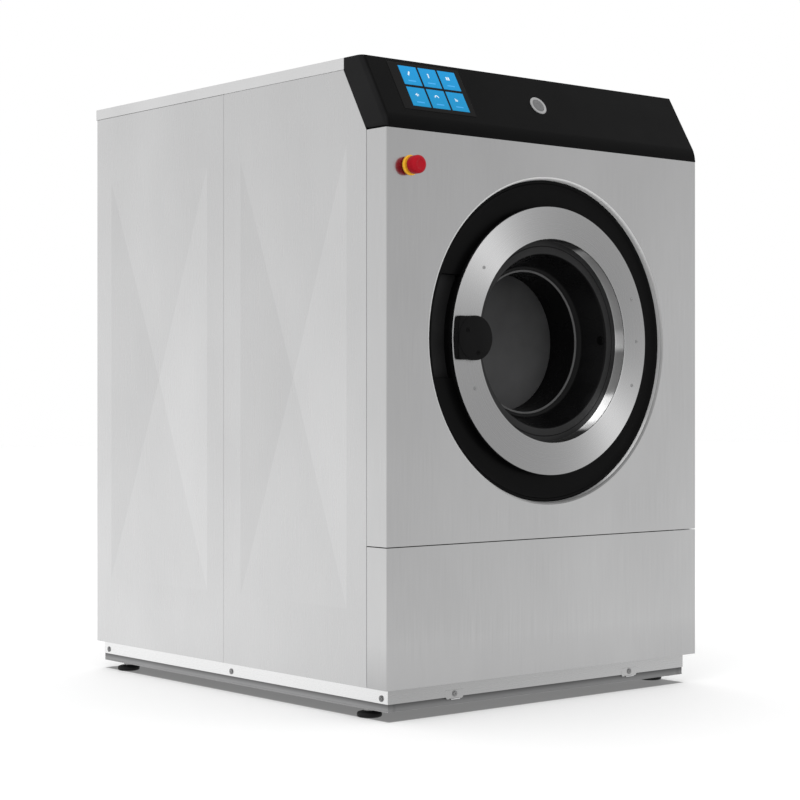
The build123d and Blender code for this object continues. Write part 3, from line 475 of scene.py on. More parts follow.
def cube(size, at, turn=0.0):
    clearSelection()
    bpy.ops.mesh.primitive_cube_add(size=1, location=at, rotation=(0, 0, turn))
    piece = bpy.context.object
    piece.scale = size
    return settle(piece)


def cylinder(radius, length, at, turn=(0, 0, 0), vertices=64):
    clearSelection()
    bpy.ops.mesh.primitive_cylinder_add(vertices=vertices, radius=radius / 1000, depth=length / 1000,
                                        location=at, rotation=turn)
    return settle(bpy.context.object)


def block(low, high):
    # low and high are corners in the cabinet's millimetres
    a, b = spot(*low), spot(*high)
    return cube(b - a, (a + b) / 2)


def rod(centre, radius, length, axis="y", vertices=64):
    return cylinder(radius, length, spot(*centre), (0 if axis == "z" else math.pi / 2, 0, 0), vertices)


def lathe(profile, segments=144, x=0.0, z=doorZ, axis="y", y=0.0):
    # a circle extruded and resized from ring to ring; a profile off the axis at both ends is bridged shut
    closed = profile[0][0] == 0
    rings = profile[1:] if closed else profile
    radius, depth = rings[0]
    upright = axis == "z"
    first = spot(x, y, depth) if upright else spot(x, depth, z)
    clearSelection()
    bpy.ops.mesh.primitive_circle_add(vertices=segments, radius=radius / 1000, location=first,
                                      rotation=(0 if upright else math.pi / 2, 0, 0))
    piece = settle(bpy.context.object)
    editAll(piece)
    if closed:
        # keep the cap where it is: only its rim goes on
        bpy.ops.mesh.edge_face_add()
        bpy.ops.mesh.select_all(action="DESELECT")
        bpy.ops.mesh.select_non_manifold()
    for outward, along in rings[1:]:
        move = (along - depth) / 1000
        shift = (0, 0, move) if upright else (0, move, 0)
        bpy.ops.mesh.extrude_edges_move(TRANSFORM_OT_translate={"value": shift})
        if outward == 0:
            bpy.ops.mesh.merge(type="CENTER")
            break
        share = outward / radius
        if abs(share - 1) > 1e-6:
            bpy.ops.transform.resize(value=(share, share, 1) if upright else (share, 1, share))
        radius, depth = outward, along
    leaveEdit()
    editAll(piece)
    if profile[0][0] > 0 and profile[-1][0] > 0:
        bpy.ops.mesh.select_all(action="DESELECT")
        bpy.ops.mesh.select_non_manifold()
        bpy.ops.mesh.bridge_edge_loops()
    bpy.ops.mesh.select_all(action="SELECT")
    bpy.ops.mesh.remove_doubles(threshold=1e-6)
    bpy.ops.mesh.normals_make_consistent(inside=False)
    leaveEdit()
    return piece


def turnFlat(profile, segments=96):
    # lathe round z at the origin, in millimetres
    return lathe(profile, segments, axis="z", y=middleY)


def copyOf(node):
    # a merged copy of a CAD node, ready for soft edges
    source = frame["nodes"][node]
    piece = source.copy()
    piece.data = source.data.copy()
    piece.parent = None
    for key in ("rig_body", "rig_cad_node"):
        piece.pop(key, None)
    bpy.context.scene.collection.objects.link(piece)
    piece.hide_render = False
    editAll(piece)
    bpy.ops.mesh.remove_doubles(threshold=2e-6)
    bpy.ops.mesh.dissolve_limited(angle_limit=math.radians(0.3))
    leaveEdit()
    return piece


def softCopy(node, name, finish, slotName, width=1.0, segments=2, angle=30, body="cabinet"):
    place(soften(copyOf(node), width, segments, angle), name, finish, slotName, node, body=body)


def keepCreases(piece, low=0.2, high=8.0):
    # shallow pressed creases stay crisp
    normals = {}
    for face in piece.data.polygons:
        for key in face.edge_keys:
            normals.setdefault(key, []).append(face.normal.copy())
    for edge in piece.data.edges:
        sides = normals.get(edge.key, ())
        if len(sides) == 2 and low < math.degrees(sides[0].angle(sides[1], 0)) < high:
            edge.use_edge_sharp = True
    return piece


def turnedTo(piece, normal, at):
    # the piece is modelled with its head along +z, and set on a surface
    turn = Vector((0, 0, 1)).rotation_difference(Vector(normal)).to_matrix().to_4x4()
    piece.data.transform(Matrix.Translation(at) @ turn)
    return piece


def modelScrew(radius, height, arm, washer=0.0):
    # pan head with a cross recess; the washer, if any, is turned in one with it
    head = cylinder(radius, height, (0, 0, height / 2000), vertices=28)
    soften(head, height * 0.45, 3, 60)
    slot = (2 * arm * radius / 1000, 0.22 * radius / 1000, height / 1000)
    for turn in (math.pi / 4, 3 * math.pi / 4):
        carve(head, cube(slot, (0, 0, height / 1000), turn))
    if washer:
        head = together([head, cylinder(washer, 0.8, (0, 0, 0.0004), vertices=32)])
    return smoothTurned(head, 35)


def placeScrews(places, name, finish, *sizes, body="cabinet"):
    # one screw is modelled and copied to each place
    master = modelScrew(*sizes)
    copies = []
    for at, normal in places:
        piece = master.copy()
        piece.data = master.data.copy()
        bpy.context.scene.collection.objects.link(piece)
        copies.append(turnedTo(piece, normal, at))
    bpy.data.objects.remove(master)
    placeAll(copies, name, finish, "machined_steel", body=body)


# cabinet

cabinet = {"sideBevel": 1.2, "frontBevel": 0.9, "coverBevel": 2.2, "skirtBevel": 0.5, "opening": 338.4}
# painted highlights: thin light strips along the rails' lower bends and the clips' lips, where these catch
# the light
paintedHighlightStrips = {"rail": {"x": 424.4, "half": 0.7, "front": 22, "back": 1054, "low": 18.1, "high": 20.3},
               "clip": {"x": 252, "half": 12, "front": 16.4, "back": 19.6, "low": 28.7, "high": 30.7}}


def buildCabinet():
    for corner in ("left_front", "left_rear", "right_front", "right_rear"):
        node = "side_panel_" + corner
        piece = keepCreases(soften(copyOf(node), cabinet["sideBevel"], 2))
        place(piece, node + "_skin", "side", "cabinet_steel", node)
    front = carve(copyOf("front_panel"), rod((0, 0.75, doorZ), cabinet["opening"], 4, "y", 216))
    soften(front, cabinet["frontBevel"], 2)
    place(front, "front_panel_skin", "front", "front_steel", "front_panel")
    softCopy("service_panel", "service_panel_skin", "front", "front_steel", cabinet["frontBevel"])
    softCopy("top_cover", "top_cover_skin", "top", "cabinet_steel", cabinet["coverBevel"], 3)
    softCopy("base_skirt", "base_skirt_strips", "skirt", "base_steel", cabinet["skirtBevel"])
    softCopy("base_frame", "base_frame_rails", "rail", "base_paint", 0.8)
    clips = copyOf("service_panel_clips")
    editAll(clips)
    bpy.ops.transform.resize(value=(1, 0.3, 1), center_override=spot(0, 20, 0))
    leaveEdit()
    place(soften(clips, 0.2, 2), "service_clips", "skirt", "base_steel", "service_panel_clips")
    strips = []
    for side in (-1, 1):
        for e in paintedHighlightStrips.values():
            x = side * e["x"]
            strip = block((x - e["half"], e["front"], e["low"]), (x + e["half"], e["back"], e["high"]))
            strips.append(soften(strip, 0.5, 2, 60))
    placeAll(strips, "base_edges", "edge", "base_steel")


foot = {"stud": 6, "studLength": 34, "nut": 11, "x": (-405.8, 405.8), "y": (99.7, 982.4),
        "pad": [(0, 0), (21, 0), (24, 1.2), (25, 3), (25, 7.5), (23.6, 9.6), (19, 11), (11, 11), (10, 12.6),
                (6.2, 13), (0, 13)]}


def buildFeet():
    pads, studs = [], []
    for x in foot["x"]:
        for y in foot["y"]:
            pads.append(smoothTurned(lathe(foot["pad"], 56, x, axis="z", y=y), 50))
            studs.append(rod((x, y, 29), foot["stud"], foot["studLength"], "z", 24))
            studs.append(soften(rod((x, y, 14.6), foot["nut"], 5, "z", 6), 0.8, 2))
    placeAll(pads, "foot_pads", "rubber", "rubber_black", "levelling_feet")
    placeAll(studs, "foot_studs", "screw", "machined_steel")


skirtScrews = {"x": 425, "y": (40, 544.5, 1037), "z": 44, "frontX": (-252, 252), "frontY": 19.4, "frontZ": 40}


def buildBaseScrews():
    s = skirtScrews
    places = [(spot(sign * s["x"], y, s["z"]), (sign, 0, 0)) for y in s["y"] for sign in (-1, 1)]
    places += [(spot(x, s["frontY"], s["frontZ"]), (0, -1, 0)) for x in s["frontX"]]
    placeScrews(places, "skirt_screws", "screw", 4.6, 2.2, 0.5, 6.4)


# console

console = {"half": 445, "lipRise": 3, "low": 1152, "crease": 1173, "top": 1302, "slopeBack": 77.5,
           "back": 132.5, "rearLow": 1278, "under": 60.5, "rounding": 1.2, "endBend": 11, "lipBend": 11}
screen = {"x": -291, "up": 82.5, "width": 190, "height": 117, "thickness": 4, "proud": 0.6, "slack": 0.6}
start = {"up": 76, "outer": 21, "inner": 14.85, "bore": 15, "cap": 14.6, "depth": 8, "proud": 1.2}


def onSlope(x, up, out=0.0):
    # a point on the console's front, measured up the slope from the crease
    c, s = math.cos(slopeAngle), math.sin(slopeAngle)
    return spot(x, console["lipRise"] + up * s - out * c, console["crease"] + up * c + out * s)


slopeFrame = Matrix(((1, 0, 0), (0, math.sin(slopeAngle), -math.cos(slopeAngle)),
                     (0, math.cos(slopeAngle), math.sin(slopeAngle)))).to_4x4()


def layOnSlope(piece, x, up, out=0.0):
    # the piece is modelled flat, facing +z, and laid on the console's front
    piece.data.transform(Matrix.Translation(onSlope(x, up, out)) @ slopeFrame)
    return piece


def flatBlock(width, height, depth, x=0.0, y=0.0):
    return cube((width / 1000, height / 1000, depth / 1000), (x / 1000, y / 1000, 0))


def flatRod(radius, depth, x=0.0, y=0.0):
    return cylinder(radius, depth, (x / 1000, y / 1000, 0), vertices=48)


def buildConsole():
    c, s = console, screen
    body = block((-c["half"], 0, c["low"]), (c["half"], c["back"], c["top"]))
    cutAway(body, spot(0, 0, c["low"]), (0, c["low"] - c["crease"], c["lipRise"]))
    cutAway(body, spot(0, c["lipRise"], c["crease"]), (0, -math.cos(slopeAngle), math.sin(slopeAngle)))
    cutAway(body, spot(0, c["under"], c["low"]), (0, c["rearLow"] - c["low"], c["under"] - c["back"]))
    end, slopeBack, lip = (0.1 - c["half"]) / 1000, spot(0, c["slopeBack"] + 0.2, 0).y, spot(0, 12, 0).y
    bendEdges(body, lambda p: p.x < end and p.y < slopeBack, c["endBend"], 6)
    bendEdges(body, lambda p: abs(p.z - c["crease"] / 1000) < 1e-4 and p.y < lip, c["lipBend"], 5)
    soften(body, c["rounding"], 2, 40)
    carve(body, layOnSlope(flatRod(start["bore"], 60), 0, start["up"]))
    pocket = soften(flatBlock(s["width"] + s["slack"], s["height"] + s["slack"], 8), 3.5, 4, 60)
    levelNormals(carve(body, layOnSlope(pocket, s["x"], s["up"], 0.5)))
    place(body, "console_shell", "console", "console_black", "console_housing")


tiles = {"left": -359.6, "low": 34, "width": 46.2, "height": 46.4, "gapX": 5.2, "gapY": 6.0, "thick": 0.5,
         "kinds": (("cross", "arch", "drop"), ("slant", "bar", "square"))}


def iconParts(kind):
    # plain signs: a bar set askew, a bar, a square, a cross, an arch and a drop
    t = tiles["thick"]
    if kind == "slant":
        bar = flatBlock(4.4, 13, t)
        bar.data.transform(Matrix.Rotation(math.radians(-28), 4, "Z"))
        return [bar]
    if kind == "bar":
        return [flatRod(2.6, t, 0, 4), flatBlock(3.4, 9, t, 0, -1.5)]
    if kind == "square":
        return [flatBlock(4.6, 9.5, t, -3.2), flatBlock(4.6, 9.5, t, 3.2)]
    if kind == "cross":
        return [flatBlock(11, 3.2, t), flatBlock(3.2, 9, t)]
    if kind == "arch":
        return [carve(flatRod(7, t, 0, -1), flatRod(4, 2, 0, -1), flatBlock(20, 10, 2, -2, -6.4))]
    wedge = flatBlock(7, 11, t)
    cutAway(wedge, (0, 0, 0), (0.8, 0.6, 0))
    return [wedge, flatRod(3.4, t, 1, -2.4)]


def buildScreen():
    s, t = screen, tiles
    glass = soften(flatBlock(s["width"], s["height"], s["thickness"]), 1.2, 3, 60)
    layOnSlope(glass, s["x"], s["up"], s["proud"] - s["thickness"] / 2)
    place(glass, "screen_glass", "screen", "screen_black", "touch_screen")
    fields, signs, captions = [], [], []
    for row, kinds in enumerate(t["kinds"]):
        for column, kind in enumerate(kinds):
            x = t["left"] + t["width"] / 2 + column * (t["width"] + t["gapX"])
            up = t["low"] + t["height"] / 2 + row * (t["height"] + t["gapY"])
            field = soften(flatBlock(t["width"], t["height"], t["thick"]), 0.16, 2, 60)
            fields.append(layOnSlope(field, x, up, s["proud"] + 0.1))
            for part in iconParts(kind):
                part.data.transform(Matrix.Diagonal((0.82, 0.82, 1, 1)))
                signs.append(layOnSlope(part, x - 2, up + 5, s["proud"] + 0.3))
            line = soften(flatBlock(20, 3, t["thick"]), 0.2, 2, 60)
            captions.append(layOnSlope(line, x, up - 13, s["proud"] + 0.2))
    placeAll(fields, "screen_tiles", "tile", "screen_black")
    placeAll(signs, "screen_signs", "icon", "screen_black")
    placeAll(captions, "screen_captions", "caption", "screen_black")


def buildStart():
    outer, inner, cap, proud = start["outer"], start["inner"], start["cap"], start["proud"]
    bezel = turnFlat([(outer, 0), (outer, 1.2), (outer - 1.4, 2.3), (outer - 3, 2.4), (inner + 1.6, 2.0),
                      (inner, 1.2), (inner, 0)])
    layOnSlope(soften(bezel, 0.25, 2), 0, start["up"])
    place(bezel, "start_bezel", "bezel", "bezel_grey", "start_button_bezel")
    low, base = proud - 0.9, proud - start["depth"]
    button = turnFlat([(0, low), (6.4, low), (7.0, proud - 0.6), (7.6, proud), (13.2, proud - 0.1),
                       (cap, low), (cap, base), (0, base)])
    layOnSlope(soften(button, 0.2, 2), 0, start["up"])
    place(button, "start_cap", "button", "button_grey", "start_button", body="start_button")


stop = {"x": -384, "z": 1082,
        "collar": [(7.2, -3), (16.5, -3), (18.6, -2.9), (19.7, -2.1), (20, -1), (20, 0), (11, 0), (11, 38),
                   (7.2, 38)],
        "head": [(0, -28.6), (7.5, -28.6), (8.6, -28.9), (9.6, -29.8), (11, -30), (13.4, -29.5),
                 (15.8, -28.2), (17.3, -26.2), (18, -23.4), (18, -10.5), (17.4, -8.8), (16.4, -8), (7, -8),
                 (7, 6), (0, 6)]}


def buildStop():
    collar = smoothTurned(lathe(stop["collar"], 72, stop["x"], stop["z"]))
    place(collar, "stop_collar", "yellow", "stop_yellow", "emergency_stop_collar")
    head = smoothTurned(lathe(stop["head"], 72, stop["x"], stop["z"]), 45)
    place(head, "stop_mushroom", "red", "stop_red", "emergency_stop_head", body="emergency_stop")


# door surround and door

surround = {"outer": 332.6, "lip": 10.3, "floor": 16, "back": 19, "inner": 243, "flange": 352,
            "slot": (-266, -248), "slotHalf": 10, "hinge": (284, 10), "hingeBore": 7}
grip = {"inner": 270, "outer": 318, "floor": 30.5, "rise": 129, "drop": 78, "wall": 3, "liner": 0.9,
        "linerInner": 271.5, "linerOuter": 307}
# the panel's edge is rolled inwards; the roll holds painted reflections and its inner end a painted highlight
# line
openingEdge = {
    "opening_roll": ("rim", [(338.2, 0.02), (337.1, 0.2), (335.9, 0.8), (334.8, 2.0), (334.1, 3.8)]),
    "opening_line": ("rimLine", [(334.1, 3.8), (333.6, 6.2), (333.2, 8.6), (332.9, 11.2)]),
}


def gripPart(inner, outer, low, high, margin=0.0):
    # the left part of a turned ring, between the pocket's level ends
    piece = lathe([(inner, low), (outer, low), (outer, high), (inner, high)], 180)
    bottom, top = doorZ - grip["drop"] - margin, doorZ + grip["rise"] + margin
    reach = block((-340, low - 1, bottom), (0, high + 1, top))
    return carve(piece, reach, operation="INTERSECT")


def buildSurround():
    s, g = surround, grip
    outer, lip, floor, wall = s["outer"], s["lip"], s["floor"], g["wall"]
    profile = [(outer - inward, lip + back) for inward, back in (
        (0, 1.3), (0.5, 0.4), (1.9, 0), (4.5, 0), (5.9, 0.8), (6.9, 2.4), (8.2, 3.9), (11, 4.9), (16, 5.4))]
    profile += [(outer - 27, floor), (s["inner"], floor), (s["inner"], s["back"]), (s["flange"], s["back"]),
                (s["flange"], 1.7), (338.6, 1.7), (336.4, 2.6), (334.9, 4.8), (outer + 1.2, 9.6)]
    body = lathe(profile, 180)
    shell = gripPart(g["inner"] - wall, g["outer"] + wall, 17, g["floor"] + wall, wall)
    carve(body, shell, operation="UNION")
    carve(body, gripPart(g["inner"], g["outer"], -20, g["floor"]))
    (slotLeft, slotRight), (hingeX, hingeY) = s["slot"], s["hinge"]
    carve(body, block((slotLeft, 0, doorZ - s["slotHalf"]), (slotRight, 60, doorZ + s["slotHalf"])),
          rod((hingeX, hingeY, doorZ), s["hingeBore"], 126, "z", 32))
    place(soften(body, 1.0, 2, 35), "surround_ring", "surround", "surround_black", "door_surround")
    # painted light: the liner is a thin sheet, lighter than the surround, laid on the grip pocket's floor so
    # that the shaded floor reads lighter
    liner = gripPart(g["linerInner"], g["linerOuter"], g["floor"] - g["liner"], g["floor"] + 0.1, -0.4)
    place(soften(liner, 0.3, 2, 40), "grip_lit_liner", "liner", "surround_black")
    for name, (finish, front) in openingEdge.items():
        back = [(r + 0.7, y + 0.6) for r, y in reversed(front)]
        place(smoothTurned(lathe(front + back, 216), 50), name, finish, "front_steel")


ring = {"outer": 278, "front": -4, "inner": 209.6, "innerFront": -8.7, "back": 19, "throat": 211.6,
        "step": -5.4, "screws": ((-196, 143.5), (-220, -99), (234, 93.5), (248.5, 3.5), (234, -91))}


def buildRing():
    outer, front, inner, innerFront, back, wall, step, screws = ring.values()
    face = lathe([
        (outer, 1), (outer, -2.2), (outer - 0.9, -3.6), (outer - 2.6, -4.1), (inner + 4.4, -8.4),
        (inner + 1.4, -8.3), (inner + 0.3, -7.2), (inner, step), (wall, step), (wall, 1)], 216)
    place(smoothTurned(face, 38), "ring_face", "ring", "door_steel", "door_ring", body="door")
    # the throat's wall holds painted reflections: dark at the top, with a painted glint at the lower right
    # that a lamp brightens further
    throat = lathe([(inner, step), (inner, 17.6), (inner - 1.0, back), (wall, back), (wall, step)], 216)
    place(smoothTurned(throat, 38), "ring_throat", "throat", "door_steel", body="door")
    slope = (front - innerFront) / (outer - inner)
    places = []
    for x, z in screws:
        y = innerFront + (math.hypot(x, z) - inner) * slope
        places.append((spot(x, y + 0.2, doorZ + z), (0, -1, 0)))
    placeScrews(places, "ring_screws", "ringScrew", 3.6, 1.3, 0.45, body="door")


bowl = {"flange": 240, "front": 19, "mouth": 179.4, "step": 80, "outer": 160, "inner": 147.4, "depth": 153,
        "wall": 5, "vent": (173.9, 32, doorZ + 5)}


def turnBowlPart(name, finish, profile, *replaced):
    place(smoothTurned(lathe(profile, 200)), name, finish, "bowl_dark", *replaced, body="door")


def buildBowl():
    flange, front, mouth, step, outer, inner, depth, wall, ventAt = bowl.values()
    back = depth + wall
    turnBowlPart("bowl_shell", "bowl", [
        (flange, front + 0.5), (mouth + 5, front + 0.5), (mouth + 1.2, front + 1.4), (mouth - 0.6, front + 5),
        (outer + 1.4, step - 7), (outer - 1.5, step - 2.4), (outer - 5, step), (inner + 3, step),
        (inner + 0.6, step + 1.6), (inner, step + 5), (inner - 1.5, depth - 4), (inner - 2, depth + 0.2),
        (outer + 2, back - 0.2), (outer + wall, back - 4), (mouth + wall, 24), (flange, 24)], "door_bowl")
    turnBowlPart("bowl_flange", "bowlFlange", [
        (flange, front), (mouth + 19, front), (mouth + 18.4, front + 0.8), (mouth + 17, front + 0.8),
        (mouth + 16.4, front), (mouth + 7, front), (mouth + 2.6, front + 0.5), (mouth + 2.6, front + 1),
        (flange, front + 1)])
    turnBowlPart("bowl_step_bead", "bowlBead", [
        (inner + 0.6, step + 2.4), (inner - 0.3, step + 1.6), (inner - 0.5, step + 0.2),
        (inner + 0.4, step - 1.2), (inner + 2.0, step - 1.7), (inner + 3.6, step - 1.2),
        (inner + 4.4, step + 0.3)])
    vent = turnFlat([(0, 0.0), (2.2, 0.0), (3.0, 0.5), (7.9, 0.5), (9.5, -0.6), (9.5, -3.2), (0, -3.2)], 40)
    turnedTo(vent, (-1, 0, 0), spot(*ventAt))
    place(smoothTurned(vent), "bowl_vent", "surround", "surround_black", body="door")
    turnBowlPart("bowl_end", "bowlEnd", [
        (0, depth - 0.6), (90, depth - 0.3), (inner - 2.2, depth + 0.2), (inner - 2.2, back - 0.1),
        (0, back - 0.1)])


handle = {"inner": 209.3, "reach": 273, "rise": 1.5, "half": 43.5, "front": -17.5, "discX": -229,
          "disc": 44.6, "discFront": -19, "chamfer": 2.6, "screws": ((-251, 16.7), (-223, -28.4)),
          "bore": 4.9, "ringCone": [(200, -9.6), (290, -3.0), (290, 12), (200, 12)]}


def buildHandle():
    # a plate along the ring's edge, ended by a round boss, and cut to lie on the ring's cone
    h = handle
    front, z, discFront = h["front"], doorZ + h["rise"], h["discFront"]
    body = lathe([(h["inner"], front), (h["reach"], front), (h["reach"], 0), (h["inner"], 0)], 240)
    span = block((-290, front - 1, z - h["half"]), (h["discX"], 1, z + h["half"]))
    carve(body, span, operation="INTERSECT")
    soften(body, h["chamfer"], 1, 60)
    disc = soften(rod((h["discX"], discFront / 2, z), h["disc"], -discFront, "y", 128), 1.2, 3, 60)
    carve(body, disc, operation="UNION")
    carve(body, lathe(h["ringCone"], 200))
    for x, dz in h["screws"]:
        carve(body, rod((x, discFront, doorZ + dz), h["bore"], 2.4, "y", 32))
    place(smoothTurned(body, 28), "handle_block", "handle", "handle_black", "door_handle", body="door")
    places = [(spot(x, discFront + 1.2, doorZ + dz), (0, -1, 0)) for x, dz in h["screws"]]
    placeScrews(places, "handle_screws", "surround", 4.3, 1.4, 0.5, body="door")


bowlScrews = {"count": 8, "first": 22.5, "circle": 225, "y": 24}


def buildDoorBack():
    softCopy("door_frame", "door_frame_ring", "handle", "handle_black", 1.2, 2, 35, body="door")
    softCopy("latch_hook", "latch_hook_steel", "screw", "machined_steel", 0.8, body="door")
    softCopy("hinge_arm", "hinge_arm_steel", "hinge", "machined_steel", 0.5, 2, 50, body="door")
    softCopy("hinge_bracket", "hinge_leaf", "hinge", "machined_steel", 0.5, 2, 50)
    b, places = bowlScrews, []
    for step in range(b["count"]):
        angle = math.radians(b["first"] + 360 / b["count"] * step)
        at = spot(b["circle"] * math.cos(angle), b["y"], doorZ + b["circle"] * math.sin(angle))
        places.append((at, (0, 1, 0)))
    placeScrews(places, "bowl_screws", "screw", 4.5, 2.2, 0.5, body="door")


# rubber, drum and what shows through the open door

gasket = {"lip": 207, "outer": 248, "front": 24.3, "back": 145}


def buildGasket():
    out, lip, front, back = gasket["outer"], gasket["lip"], gasket["front"], gasket["back"]
    profile = [(lip - 1, front + 0.4), (lip + 2, front), (out - 2, front)]
    profile += [(out - inward, front + deep) for inward, deep in (
        (0, 2), (0, 5), (2, 7), (9, 9), (11, 14), (8, 20), (8, 28), (13, 34))]
    profile += [(radius, front + deep) for radius, deep in (
        (228, 42), (222, 48), (224, 54), (230, 62), (228, 70), (219, 76), (213.4, 84))]
    profile += [(213, back), (lip, back), (lip, front + 82)]
    profile += [(radius, front + deep) for radius, deep in (
        (212, 74), (222, 67), (224, 62), (218, 55), (216, 48), (222, 40), (229, 32), (233, 27), (233, 20),
        (230, 12), (226, 6.4))]
    profile += [(lip + 1, front + 6), (lip - 1, front + 4)]
    body = modify(lathe(profile), "SUBSURF", levels=1, render_levels=1)
    pick(body)
    bpy.ops.object.shade_smooth()
    place(body, "gasket_bellows", "rubber", "rubber_black", "door_gasket")


drum = {"radius": 350, "front": 166, "back": 700, "mouth": 198, "wall": 1.5, "dish": 62, "dishEdge": 72,
        "dishDepth": 3}


def drumMap(piece):
    # the sheet's own map in metres: round the wall and along it, or flat on the discs
    mesh = piece.data
    layer = mesh.uv_layers.new(name="drumMap")
    centre = spot(0, 0, doorZ)
    for face in mesh.polygons:
        around = abs(face.normal.y) < 0.5
        middle = math.atan2(face.center.z - centre.z, face.center.x)
        for corner in face.loop_indices:
            co = mesh.vertices[mesh.loops[corner].vertex_index].co
            if around:
                angle = math.atan2(co.z - centre.z, co.x)
                angle -= 2 * math.pi * round((angle - middle) / (2 * math.pi))
                layer.data[corner].uv = (angle * drum["radius"] / 1000, co.y)
            else:
                layer.data[corner].uv = (co.x, co.z)


def buildDrum():
    radius, front, back, mouth, wall, dish, dishEdge, dishDepth = drum.values()
    face, inside, low = back - wall, radius - wall, front + wall
    shell = lathe([
        (mouth, front + 2), (mouth + 3, front), (radius - 10, front), (radius - 2, front + 3),
        (radius, front + 10), (radius, back), (inside, back), (inside, front + 11), (radius - 4, front + 5),
        (radius - 11, low + 1), (mouth + 4, low + 1), (mouth + 1, low + 3)], 168)
    disc = lathe([
        (0, face - dishDepth), (dish, face - dishDepth), (dishEdge, face), (inside, face), (inside, back),
        (dishEdge, back), (dish, back - dishDepth), (0, back - dishDepth)], 168)
    for piece in (shell, disc):
        drumMap(smoothTurned(piece))
    place(shell, "drum_basket", "drum", "inner_steel", "drum_shell", body="drum")
    place(disc, "drum_rear", "drum", "inner_steel", body="drum")
    softCopy("drum_lifters", "drum_ribs", "inner", "inner_steel", 8.0, 4, 20, body="drum")


# rear

rear = {"face": 1057, "cover": 1058.5, "coverX": (-207.5, 207.5), "coverZ": (210, 395, 580, 765, 950),
        "panelX": (-410, 410), "panelZ": (90, 370, 650, 930, 1210), "inletX": (-260, -180), "inletZ": 1175}
hoods = {"top": 888, "step": 36, "count": 6, "half": 126, "back": 1065, "lean": 5.5}


def modelHood(z):
    # a louvre's hood: its upper edge leans in, and it is open below
    half, cover, back = hoods["half"], rear["cover"], hoods["back"]
    hood = block((-half, cover, z - 3.4), (half, back, z + 12))
    inner = spot(0, back - 1, z + 11)
    pickEdges(hood, lambda p: p.z > inner.z and p.y > inner.y)
    bpy.ops.transform.translate(value=(0, -hoods["lean"] / 1000, 0))
    bpy.ops.mesh.select_mode(type="VERT")
    leaveEdit()
    carve(hood, block((2 - half, cover - 1, z - 6), (half - 2, back - 1.6, z + 2.6)))
    return soften(hood, 1.2, 3, 40)


def buildRear():
    r = rear
    for node in ("rear_panel", "rear_connection_panel", "rear_drain_panel"):
        softCopy(node, node + "_skin", "rear", "cabinet_steel", 0.5)
    softCopy("rear_access_cover", "rear_cover_skin", "rear", "cabinet_steel", 0.6)
    louvres = [modelHood(hoods["top"] - hoods["step"] * row) for row in range(hoods["count"])]
    placeAll(louvres, "louvre_hoods", "rear", "cabinet_steel")
    places = [(spot(x, r["cover"], z), (0, 1, 0)) for x in r["coverX"] for z in r["coverZ"]]
    places += [(spot(x, r["face"], z), (0, 1, 0)) for x in r["panelX"] for z in r["panelZ"]]
    placeScrews(places, "rear_screws", "screw", 4.2, 2.0, 0.5, 6.0)
    softCopy("inlet_valves", "inlet_valves_body", "white", "valve_white", 0.7, 2, 40)
    softCopy("drain_pipe", "drain_pipe_body", "pipe", "pipe_grey", 0.7, 2, 40)
    softCopy("cable_gland", "cable_gland_body", "insidePlastic", "inner_plastic", 0.7, 2, 40)
    threads = []
    for x in r["inletX"]:
        for y in [1060 + 2.4 * step for step in range(6)]:
            threads.append(lathe([(12.6, y - 0.9), (13.2, y), (12.6, y + 0.9)], 40, x, r["inletZ"]))
    placeAll(threads, "inlet_threads", "white", "valve_white")


# the rest keeps its CAD shape, in a better finish

plainFinish = {
    "inner": ("door_stiffener", "tub_shell", "tub_back"),
    "basePaint": ("inner_frame", "tub_cradle"),
    "insidePlastic": ("door_lock_body", "shock_absorbers", "control_box"),
    "pin": ("lock_bolt", "heating_elements", "shaft_bearings", "motor_pulley"),
    "iron": ("bearing_housing", "counterweights"),
    "alloy": ("drum_spider", "drum_pulley"),
    "rubber": ("suspension_springs", "drive_belt", "fill_hose"),
    "hinge": ("hinge_pin",),
    "motorPaint": ("motor_body",),
    "pipe": ("drain_valve",),
}


def finishRest():
    for finish, nodes in plainFinish.items():
        for node in nodes:
            mesh = frame["nodes"][node].data
            mesh.materials.clear()
            mesh.materials.append(finishes[finish])


# stage, lights and camera

studio = {"world": 0.93, "floor": 0.87, "floorLift": 0.2, "shade": 0.02, "darkEnd": 0.7, "lightEnd": 1.02,
          "lightFrom": (-0.644, 0.765, 0.0), "floorReach": 1.5}


def mirroredLight(tree, kind, reach):
    # what the metal mirrors is lighter at the back left than at the front right
    sides = {0: coordinates(tree, kind), 1: studio["lightFrom"]}
    along = addNode(tree, "VectorMath", sides, "Value", operation="DOT_PRODUCT")
    return spread(tree, along, studio["darkEnd"], studio["lightEnd"], -reach, reach)


def mixShader(tree, factor, first, second):
    return addNode(tree, "MixShader", {0: factor, 1: first, 2: second})


def buildWorld():
    # even light for the surfaces, white for the camera, and the drift for what is mirrored
    world = bpy.data.worlds.new("studio")
    bpy.context.scene.world = world
    world.use_nodes = True
    tree = world.node_tree
    tree.nodes.clear()
    light, gloss, plain = [addNode(tree, "Background", {"Color": (1, 1, 1, 1), "Strength": strength})
                           for strength in (studio["world"], mirroredLight(tree, "Generated", 1), 1.0)]
    path = addNode(tree, "LightPath").node.outputs
    direct = path["Is Camera Ray"]
    seen = mathNode(tree, "MAXIMUM", direct, path["Is Glossy Ray"])
    seen = mathNode(tree, "MAXIMUM", seen, path["Is Transmission Ray"])
    mixed = mixShader(tree, seen, light, mixShader(tree, direct, gloss, plain))
    feed(tree.nodes.new("ShaderNodeOutputWorld"), {"Surface": mixed})


